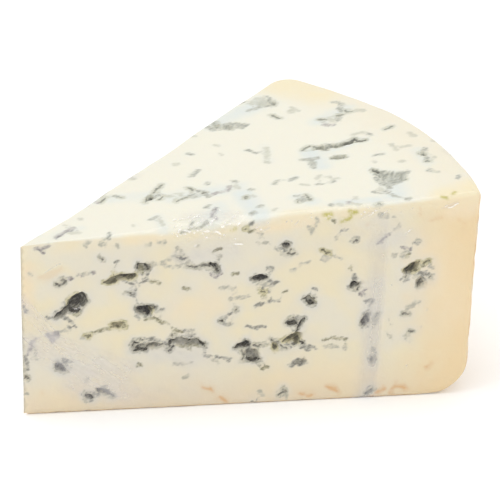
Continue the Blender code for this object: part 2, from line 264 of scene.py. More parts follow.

# %% [markdown]
# ## The mould
#
# Blue mould grows where the curd was pierced and air came in, so the veins are ragged slots,
# flattened and slightly tilted, with a few open pockets. Painting them by hand in the viewport
# would give an image, and an image can't be read or resized. Here each vein is a short stroke:
# a row of numbers in threes, each the place of a point and the stroke's half-width there, all in
# millimetres. The strokes were placed against the photograph and are grouped by tone. On
# the front cut a place is (along from the tip, up from the base), as the photograph's view shows
# it. What lies higher than the edge is on the top. A tone says whether the stroke is a dark core
# or the mould round one, how dark it is, and its hue, from olive at -1 to mauve at 1.

# %% The front cut's strokes
TONES = {  # is it a core, darkness, hue
    "black": (True, 0.96, -0.35),
    "olive": (True, 0.66, -1.0),
    "dark": (True, 0.68, -0.35),
    "green": (False, 0.46, -0.8),
    "grey": (False, 0.45, -0.2),
    "violet": (False, 0.42, 0.8),
    "faint": (False, 0.27, -0.3),
}
FRONT_STROKES = {
    "black": (
        (11.2, 25.8, .4, 12, 26.6, .6, 12.9, 27.3, .5, 13.9, 27.2, .35),
        (10.4, 25.1, .4, 11.2, 24.5, .4, 12.3, 24.3, .45, 12.9, 24.8, .3),
        (11.5, 25.3, .4, 12.4, 25.9, .5, 13.2, 26.4, .4),
        (10.6, 25.5, .5, 9.8, 25.1, .5, 9.1, 24.4, .45, 8.4, 23.7, .45, 7.4, 23.2, .3),
        (25.3, 24.6, .35, 26.2, 24, .9, 27.1, 23.9, .85, 27.4, 23.2, .45),
        (25.4, 24.9, .2, 27, 24.8, .2, 28.2, 24.6, .25, 29, 24.4, .22),
        (25.6, 34.8, .22, 25.8, 34.4, .35, 25.4, 33.8, .25), (27.2, 33.8, .35, 27.4, 33.2, .25),
        (24, 15.9, .3, 24.6, 16.4, .28, 25.2, 16.3, .16),
        (24.2, 14.4, .18, 25.2, 14.5, .26, 26.4, 14.4, .2, 27.4, 14.4, .16),
        (25, 15.1, .14, 25.7, 15.1, .22, 26.4, 15.4, .12),
        (32.2, 15.3, .3, 32.5, 16.2, .35, 33.2, 16.6, .35, 34.2, 16.8, .28, 34.8, 16.8, .28, 35.3,
         16.3, .35, 36.1, 15.9, .4, 36.8, 16, .35, 37.8, 16.3, .25, 38.6, 15.8, .2, 39.3, 15.2,
         .25, 39.9, 14.8, .2), (32, 13.8, .28, 32.6, 14.4, .3, 32.9, 14.9, .2),
        (41.2, 33.6, .3, 41.9, 33.5, .4, 42.3, 33.1, .2, 42.6, 32.5, .22),
        (43.2, 20.4, .25, 43.7, 20.5, .33),
        (46.8, 13.9, .33, 47.8, 14, .33, 48.6, 14.2, .4, 49.3, 14.6, .5, 49, 15.3, .3),
        (49, 11.2, .25, 50, 10.7, .28, 50.7, 10.5, .4, 51.4, 10.8, .28, 52, 10.9, .15),
        (50.6, 30.3, .4, 50.9, 30.2, .6, 51.8, 29.8, .45, 52.6, 29.7, .6, 53.3, 30, .35, 53.7,
         30.1, .2), (57.1, 37.6, .3, 57.6, 37.7, .45, 57.7, 37.2, .22, 58.2, 37.6, .3),
        (58.2, 19, .33, 59, 18.8, .33, 59.8, 19.1, .4),
        (61.8, 20.1, .18, 61.2, 19.5, .33, 60.7, 18.7, .35, 60.3, 18, .28, 60.3, 17.3, .2, 60.1,
         16.7, .33), (60.8, 14.7, .25, 61.2, 14.3, .33),
        (61.8, 24.5, .28, 62.4, 24.6, .28, 62.9, 25, .18),
        (62.2, 24.1, .25, 62.7, 23.6, .3, 63.3, 23.5, .35, 63.9, 23.3, .12),
        (72.3, 27.3, .45, 72.8, 27.6, .5, 73.3, 27.4, .22),
        (74.7, 17.8, .38, 74.5, 18.7, .45, 74.8, 19.4, .45, 75.4, 20, .38, 75.9, 20.6, .18),
        (8, 11.2, .5, 8.7, 10.8, .45), (13.9, 4.1, .38, 14.6, 4, .52, 15, 3.6, .3),
        (23.8, 28.2, .25, 24, 28.2, .25),
    ),
    "olive": (
        (19, 31.5, .2, 20.2, 31.8, .35, 21.2, 32.1, .5, 22.2, 31.9, .6, 23.3, 31.8, .5, 24.2, 32,
         .45, 24.9, 32.4, .25), (20.1, 32.8, .15, 20.3, 32.4, .2),
        (17.8, 31, .22, 18.6, 30.7, .3, 19.6, 30.7, .3, 20.6, 30.9, .3),
        (84.1, 30.5, .55, 84.9, 30.6, .8, 85.7, 31, .7, 86.1, 31.4, .3),
        (85.4, 30, .45, 86.2, 30.2, .25, 87, 30.8, .12), (86.2, 31.6, .25, 87.1, 32.1, .18),
        (87.9, 31.6, .28, 88.4, 31.8, .33, 88.9, 32.3, .28, 89.3, 32.2, .18),
        (57, 14.9, .3, 57.8, 15.3, .42, 58.8, 15.4, .6, 59.9, 15.8, .65, 60.3, 15.2, .65, 60, 14.6, .5),
        (54.8, 13.6, .33, 55.3, 13.2, .4), (22.5, 20.9, .12, 22.6, 20.2, .12),
        (19.2, 20.8, .1, 20.6, 21, .13, 22.5, 21, .13), (19.4, 20.1, .12, 21, 20, .14, 22.6, 20, .15),
        (65.4, 36, .22, 66, 35.6, .25, 66.5, 35.2, .28, 67.3, 35.1, .2),
        (52.4, 26.9, .3, 53, 26.8, .33), (10.3, 26.4, .5, 11.2, 27.3, .6, 12.1, 28.3, .33),
        (13.6, 18.3, .2, 14.3, 18.2, .33, 14.9, 18.5, .28), (48.6, 41.8, .22, 49.3, 42.2, .18),
        (28, 23.6, .35, 28.4, 24, .28, 28.8, 24.4, .2),
    ),
    "dark": (
        (14.2, 26.8, .33, 13.7, 26.2, .38, 13.2, 25.6, .33),
        (7.9, 12.4, .38, 8, 11.5, .7, 8.7, 10.8, .65, 9.4, 10.3, .38), (7.2, 11.1, .25, 8.2, 11, .5),
        (0, 9.1, .28, .7, 9.2, .42, 1.1, 8.8, .25),
        (7.6, 31, .33, 8, 30.7, .38, 8.8, 30.8, .28, 9.4, 31.2, .22),
        (8.7, 31.9, .18, 9.3, 31.9, .28, 9.9, 31.6, .25),
        (25.9, 34.5, .2, 27, 34.2, .22, 27.8, 34.5, .18, 28.4, 34.7, .1),
        (23.9, 31.9, .3, 24.4, 32.3, .28),
        (27.4, 14.8, .18, 28.2, 15, .22, 29.2, 15.1, .25, 30, 15.3, .2, 30.6, 15.6, .18),
        (25.2, 16, .18, 26, 17, .2, 26.3, 16.7, .18), (32.6, 17.7, .18, 32.7, 17.2, .22),
        (35.8, 33.8, .14, 36.8, 33.5, .22, 38, 33.4, .2, 39.2, 33.7, .2, 40.4, 33.9, .2, 41.2,
         33.6, .3), (46.5, 22.6, .18, 46.8, 22.9, .22),
        (50.4, 14.4, .28, 51.2, 14, .33, 51.9, 14.2, .22, 52.8, 14.2, .14),
        (50.6, 13.2, .28, 50.9, 12.8, .35, 50.8, 12.2, .25, 50.9, 11.8, .18),
        (48.2, 13, .28, 48.4, 12, .38, 48.5, 11.4, .35, 47.9, 10.6, .2),
        (57.7, 19.1, .28, 58, 19.5, .2, 58.6, 20.1, .2, 59.2, 20.4, .18),
        (54.3, 15.6, .18, 54.5, 15.1, .2, 55.1, 14.9, .2, 55.8, 14.7, .22),
        (56.2, 14.1, .18, 56.8, 13.4, .28, 57.7, 13.3, .28), (59, 14.2, .28, 60, 14.2, .3),
        (57.9, 35.7, .33, 58.6, 35.4, .28, 59.4, 35.5, .33), (58.6, 36.5, .18, 58.5, 36, .14),
        (63.6, 24.9, .2, 64, 24.6, .15), (73.7, 26.9, .28, 73.3, 26.3, .22),
        (71.9, 26.9, .25, 72.4, 26.6, .28), (75.5, 19.2, .42, 75.8, 18.6, .33),
        (84.6, 29.6, .33, 84.1, 29, .28, 83.8, 28.6, .22),
        (87.8, 27.3, .38, 87.3, 26.6, .48, 86.8, 26.2, .33), (89.2, 28.4, .22, 89.8, 28.3, .28),
        (84.6, 14.9, .22, 84.6, 14.4, .28), (84.9, 15.8, .22, 85.4, 15.6, .18, 86, 15.7, .1),
        (72.3, 37.7, .22, 72.9, 38, .25, 73.2, 38.1, .12),
        (17.1, 36.6, .22, 17.6, 36.4, .33, 17.9, 36.2, .28),
        (76.2, 9.4, .38, 76.7, 9.3, .48, 76.6, 8.6, .22),
        (56.3, 1.8, .28, 57, 2.4, .33, 57.7, 2.9, .22), (56.6, 3, .18, 57.2, 3.5, .22),
        (75.3, 1.2, .28, 76, 1.6, .38, 76.8, 2.2, .33),
        (34, 35.9, .2, 34.7, 35.8, .38, 35.2, 35.7, .28, 35.9, 35.7, .12),
        (77.6, 20.3, .18, 78.2, 20.4, .28),
        (16.6, 5, .3, 17.4, 5.1, .5, 18, 4.6, .45, 18.8, 4, .33, 19.6, 3.7, .2),
        (83.6, 19.8, .33, 84.4, 19.7, .38),
    ),
    "green": (
        (26, 33.6, .6, 26.2, 32.8, .5, 25.4, 33, .4),
        (27.9, 30.6, .22, 28.8, 30.7, .33, 29.5, 30.3, .28, 30.2, 30, .22),
        (26.8, 21.6, .18, 28, 22, .28, 28.8, 21.8, .35, 29.7, 21.3, .25, 30.4, 20.8, .25, 31.6,
         20.5, .14),
        (32.9, 15.2, .18, 33.8, 15.1, .24, 35, 14.8, .2, 36, 14.9, .16, 37.2, 15, .16, 38.4, 14.8,
         .2, 39.4, 14.8, .2), (32.8, 18.9, .2, 33.4, 19, .28, 34.2, 18.8, .22, 34.9, 18.4, .22),
        (36.4, 14.2, .22, 36.6, 13.8, .12), (24.8, 10.5, .22, 25.3, 11.1, .33, 26.2, 10.9, .22),
        (41.8, 36.7, .2, 42.8, 37.3, .28, 43.4, 37.4, .22),
        (49, 41.8, .2, 49.6, 41.5, .45, 50.4, 41.4, .3, 51, 41.6, .15),
        (52.6, 8.1, .28, 53.2, 8.6, .38, 53.8, 8.7, .22),
        (65.8, 14.5, .1, 66.8, 14.8, .18, 68, 14.9, .22, 69, 14.8, .28, 70, 14.8, .2, 70.6, 14.6,
         .22, 71.2, 14.8, .1), (57.4, 26.5, .2, 57.8, 26.8, .15), (71.7, 31.3, .28, 72, 31.7, .22),
        (46, 31.3, .2, 46.4, 31.3, .3, 47.1, 31.3, .15),
        (35.3, 28.6, .28, 35.9, 28.5, .35, 36.6, 28.6, .22), (63.4, 24.3, .5, 63.8, 24.1, .5),
        (87.4, 31.2, .45, 88, 31.3, .4), (83.8, 33.9, .45, 84.6, 33.9, .3),
        (15.2, 18.9, .22, 16, 19.2, .18, 17.5, 19.8, .14, 18.6, 20.1, .18, 19.3, 20.3, .2),
        (67.9, 42.9, .2, 68.3, 42.4, .28),
        (12.8, 24.2, .45, 12.3, 23.5, .4, 11.6, 23.3, .28),
    ),
    "grey": (
        (.7, 14.2, .22, .95, 13.2, .33, 1.05, 12, .35, 1, 11.1, .22), (9.3, 26.4, .28, 9.8, 26.2, .33),
        (7.6, 24.3, .25, 8.2, 24.3, .3), (5.6, 23.5, .22, 6, 23, .2, 7, 23.1, .2),
        (9.6, 22.9, .45, 10.2, 22.3, .38, 10.9, 21.7, .28, 11.3, 21.4, .18),
        (10.2, 20.6, .28, 10.7, 20.5, .22), (11.3, 20.8, .18, 11.7, 20.6, .14),
        (8.9, 13.2, .22, 9.8, 12.7, .38, 10.5, 12.2, .33), (9.4, 12.4, .28, 9.9, 11.6, .33),
        (15.2, 3.3, .3, 14.7, 2.9, .22), (15.4, 4.7, .33, 16, 4.4, .48, 16.6, 4.3, .33),
        (16.6, 5, .35, 17.4, 5.1, .6, 18.2, 6, .2), (22.4, 30.9, .18, 23.2, 30.6, .22, 24.1, 30.1, .14),
        (24.3, 28, .45, 24.5, 27.9, .45), (24.5, 28.7, .25, 24.9, 28.9, .2),
        (24.1, 27.5, .22, 24.3, 27.3, .22),
        (25.4, 30.3, .22, 26.2, 30.7, .18, 27.3, 31.1, .22, 27.9, 30.6, .2),
        (25.3, 32.4, .25, 26.2, 32.2, .2), (27.5, 32.4, .15, 27.4, 31.4, .14),
        (24.9, 22.4, .28, 25.5, 22, .28), (25.1, 23.4, .33, 25.2, 23, .3),
        (29.3, 23.3, .22, 30.2, 23.7, .25, 31, 23.9, .18),
        (26.5, 16.5, .14, 27.6, 16.3, .18, 28.2, 16.8, .2, 29.3, 16.7, .25, 29.8, 16.3, .14),
        (25.8, 17.3, .1, 27.5, 17.1, .12, 29, 17.1, .1),
        (29.8, 16, .28, 30.8, 15.9, .38, 31.9, 15.9, .42),
        (35, 17.1, .15, 36.2, 17, .12, 37.5, 16.9, .14),
        (35.2, 18.6, .2, 36.4, 18.6, .15, 37.6, 18.7, .1),
        (39.6, 12.5, .18, 40.1, 12.4, .25, 40.5, 12.2, .28),
        (42, 11.8, .14, 42.8, 11.6, .22, 44, 11.3, .28, 44.9, 10.9, .33, 45.4, 11.2, .14),
        (44.6, 19.6, .22, 45.4, 19.6, .2, 46, 19.7, .12),
        (45.2, 21.9, .18, 45.8, 22.2, .18, 46.5, 22.6, .18),
        (49.6, 13.6, .75, 49.8, 12.2, .85, 50.6, 11.4, .55),
        (49, 18.9, .18, 49.8, 18.6, .18, 50.6, 18.5, .22, 51.4, 18.3, .42, 52.4, 18.5, .25, 53.2,
         18.5, .12), (60, 20.3, .33, 60.8, 20, .42), (57.6, 14, .45, 58.6, 13.7, .38),
        (55.2, 14.2, .38, 55.6, 14.2, .35),
        (60.8, 13.2, .38, 61.6, 13.3, .45, 62.3, 12.9, .7, 63.2, 13.1, .45, 63.9, 12.9, .22),
        (58.7, 8.8, .38, 59.6, 9.6, .55, 60.4, 9.8, .75, 61.3, 9.7, .65, 62, 9.5, .38),
        (54.2, 29.2, .45, 54.8, 28.7, .45, 55.5, 28.9, .33, 56, 28.8, .14),
        (54.5, 28.1, .22, 54.8, 28.2, .22), (53.6, 32.5, .33, 54.2, 32.2, .5, 54.8, 32.3, .33),
        (55.5, 36.7, .22, 56.1, 37, .25, 56.7, 37.2, .2, 57, 36.6, .2, 57.6, 36, .2),
        (53.6, 24.4, .18, 54.6, 24.7, .33, 55.4, 24.5, .22, 56.2, 24.6, .1),
        (50.9, 23.5, .22, 52, 23.9, .28, 52.9, 24.2, .22), (63.7, 26.9, .22, 64.2, 26.6, .28),
        (72.9, 29.4, .33, 72.7, 28.5, .28), (71.1, 27.3, .18, 71.6, 27.2, .2),
        (53.6, 26.7, .2, 54.1, 26.6, .15), (52.7, 27.5, .22, 52.8, 27.3, .22),
        (70, 40.2, .18, 70.4, 40.3, .2, 71, 40.5, .1),
        (75.2, 23.2, .33, 76.2, 23.4, .5, 76.9, 23.5, .22), (77.5, 19.9, .14, 77.4, 19.3, .14),
        (77.1, 11.9, .38, 77.3, 11.7, .38), (77.4, 11, .38, 77.3, 10.2, .28),
        (83.6, 27.4, .28, 84.2, 28, .38), (82.9, 28.2, .28, 83.1, 28.2, .28),
        (86.9, 29.3, .45, 87.8, 29.3, .38, 88.8, 29, .45), (87.6, 28.5, .45, 88, 28, .33),
        (89.2, 30.6, .22, 90, 30.4, .28), (85.8, 36.5, .18, 86.4, 36.4, .28, 86.9, 36.6, .14),
        (20.6, 35.5, .25, 20.9, 35.5, .25), (18.8, 41.5, .18, 19.2, 41.7, .28, 19.5, 42.3, .22),
        (.4, 25.9, .28, .6, 25.4, .38, 1.1, 24.8, .28), (50.2, .4, .28, 51, .2, .22),
        (73.8, .2, .18, 74.6, .5, .28, 75.4, .6, .18), (50.2, 45.3, .18, 51, 45.6, .22),
        (49.9, 43.4, .28, 50.2, 43.4, .25),
    ),
    "violet": (
        (2.9, 18.3, .33, 2.5, 17.8, .42, 1.9, 16.9, .33, 1.7, 16.2, .33, 1.4, 15.3, .18, 1.2, 14.4,
         .14), (5.6, 19, .42, 6.3, 18.6, .65, 6.6, 18, .55, 6.5, 17.5, .33),
        (6.5, 19, .38, 7.6, 19.2, .38, 8, 18.8, .28), (10, 31.6, .33, 10.9, 32, .28),
        (12.7, 32.8, .22, 13.1, 32.8, .22), (15.4, 33.2, .25, 15.7, 33.2, .22),
        (3.4, 39.1, .22, 4.2, 39.3, .33, 5.2, 39.6, .25, 6.2, 40.2, .22),
        (4.6, 38.9, .2, 5.1, 38.5, .18),
        (7.6, 41.7, .14, 8.4, 42.3, .2, 9.6, 42.9, .22, 10.6, 43.3, .22, 11.6, 43.9, .18),
        (41.4, 31.9, .14, 41.9, 31.3, .2, 42.3, 31, .25, 43.4, 31.6, .25),
        (41.5, 45.2, .22, 42, 46.2, .2, 42.6, 47, .18),
        (74, 25.4, .33, 74.8, 25.9, .28, 75.4, 26.2, .18),
        (78.1, 36.9, .33, 79, 37.7, .28, 79.6, 38.3, .28, 80.2, 38.9, .14),
        (82.9, 35.5, .25, 83.8, 35.4, .3, 84.8, 35.2, .3, 84.9, 34.7, .22),
        (75.6, 2.4, .18, 76.2, 2.9, .18),
    ),
    "faint": (
        (.2, 13.5, .4, .3, 11.5, .42, .3, 9.8, .38), (2.5, 16.8, .18, 3.1, 15.4, .18, 3.1, 13.4, .28),
        (8.4, 19.4, .22, 9.8, 19.6, .14), (10.6, 11.2, .3, 11, 10.6, .2),
        (13.6, 5.1, .28, 13.5, 4.2, .28, 13.6, 2.6, .33), (14.2, 8.1, .15, 13.8, 7.4, .2),
        (.1, 5.3, .22, .7, 5.2, .28), (13.2, 18, .4, 13.6, 17.9, .4),
        (12, 32.6, .14, 13, 32.9, .2, 14.2, 33.2, .25, 15.2, 33.1, .2), (1.8, 33.8, .2, 2.4, 33.1, .22),
        (14.2, 39.7, .4, 14.9, 40.5, .28), (17.4, 40, .4, 18, 39.9, .4), (20.8, 39.3, .33, 21, 39, .3),
        (18, 41, .15, 18.8, 41.4, .18), (22.4, 28.2, .35, 22.9, 28.2, .35),
        (30.6, 34.9, .14, 31.6, 35.4, .14, 33.4, 36, .2),
        (30.4, 34.6, .22, 31.4, 34.1, .25, 32.8, 33.9, .2, 34.4, 33.9, .2, 34.8, 34.6, .33),
        (37.2, 33.2, .2, 38.4, 32.9, .2, 39.2, 32.7, .2), (40.6, 33, .4, 41.4, 32.9, .45),
        (43.2, 28.3, .22, 44.2, 28.2, .2, 46.4, 28.3, .12),
        (45.4, 25.5, .3, 47.4, 25.7, .3, 49.6, 26, .25),
        (27.2, 39.1, .22, 27.8, 39.2, .33, 28.2, 39.6, .18), (29.9, 39.5, .28, 31.2, 39.4, .28),
        (43, 35.8, .3, 43.4, 35.8, .3), (33.9, 38.2, .28, 34.6, 37.4, .33),
        (38.4, 38.3, .2, 38.7, 38.3, .2),
        (32.9, 10.7, .18, 33.8, 10.7, .22, 35.4, 10.7, .14, 37, 10.9, .1),
        (41.8, 11, .14, 42.6, 10.4, .18), (35.4, 7.4, .33, 36.4, 7.9, .28),
        (66.2, 13, .28, 67.4, 12.9, .33, 69, 12.8, .2), (70.5, 12.7, .4, 70.9, 12.7, .4),
        (56.8, 2.6, .75, 56.9, 2.2, .7), (57.8, 2, .28, 57.9, 1.2, .33), (51.9, 3, .35, 52.6, 2, .35),
        (51.5, 29, .45, 52.8, 28.7, .55, 53.8, 28.4, .45), (56.8, 35.6, .6, 57.6, 35.3, .6),
        (58.6, 31.4, .22, 59.4, 31.6, .33), (61, 32.9, .2, 62.8, 33.1, .2),
        (65.8, 33.9, .6, 66.6, 33.9, .6), (68.5, 34.3, .2, 69.9, 33.6, .14),
        (62.5, 41.5, .33, 63.2, 41.2, .38, 63.6, 40.5, .45, 63.3, 39.9, .33),
        (64.2, 42, .33, 64.6, 43.2, .28), (68.4, 38.7, .28, 68.6, 38.8, .25),
        (52.3, 40.7, .28, 52.5, 40.3, .25), (51.7, 38.4, .2, 53.8, 38.3, .2),
        (77, 17.5, .45, 76.8, 16.4, .16), (76.9, 12.6, .3, 76.8, 10, .65, 76.5, 8.4, .3),
        (77.5, 19, .6, 76.9, 18, .5),
        (87.2, 22.6, .28, 86, 22.2, .45, 85.2, 21.7, .55, 84.4, 21.2, .38),
        (81.2, 20.8, .22, 81.4, 20.8, .2), (84.8, 13.9, .4, 84.8, 13.2, .4),
        (80.6, 14.2, .38, 80.5, 15.2, .33, 80.2, 15.9, .28), (81.3, 17.6, .42, 80.9, 18.5, .28),
        (83.2, 33.8, .5, 84.6, 34.6, .4), (81.1, 34, .38, 81.5, 34, .36),
        (86.2, 28.6, .5, 86.6, 28.6, .5), (86.4, 37, .38, 86.8, 37, .35),
        (81.2, 40.1, .1, 81.9, 40.4, .22, 82.5, 41.2, .1), (78.6, 43.4, .6, 79.6, 43.2, .5),
        (81.1, 43.1, .2, 81.3, 43.1, .2), (35, 42.2, .28, 35.8, 42.9, .15, 37.2, 43.8, .18),
        (38.4, 42.9, .15, 39.6, 43.6, .22, 40.5, 44.1, .18),
    ),
}
print(sum(map(len, FRONT_STROKES.values())), "strokes on the front cut")

# %% [markdown]
# The top was smeared by the wire and lies under the brightest light, so its veins are softer and
# bluer, with only two or three open ones. A place there is (along the front cut, back from it).

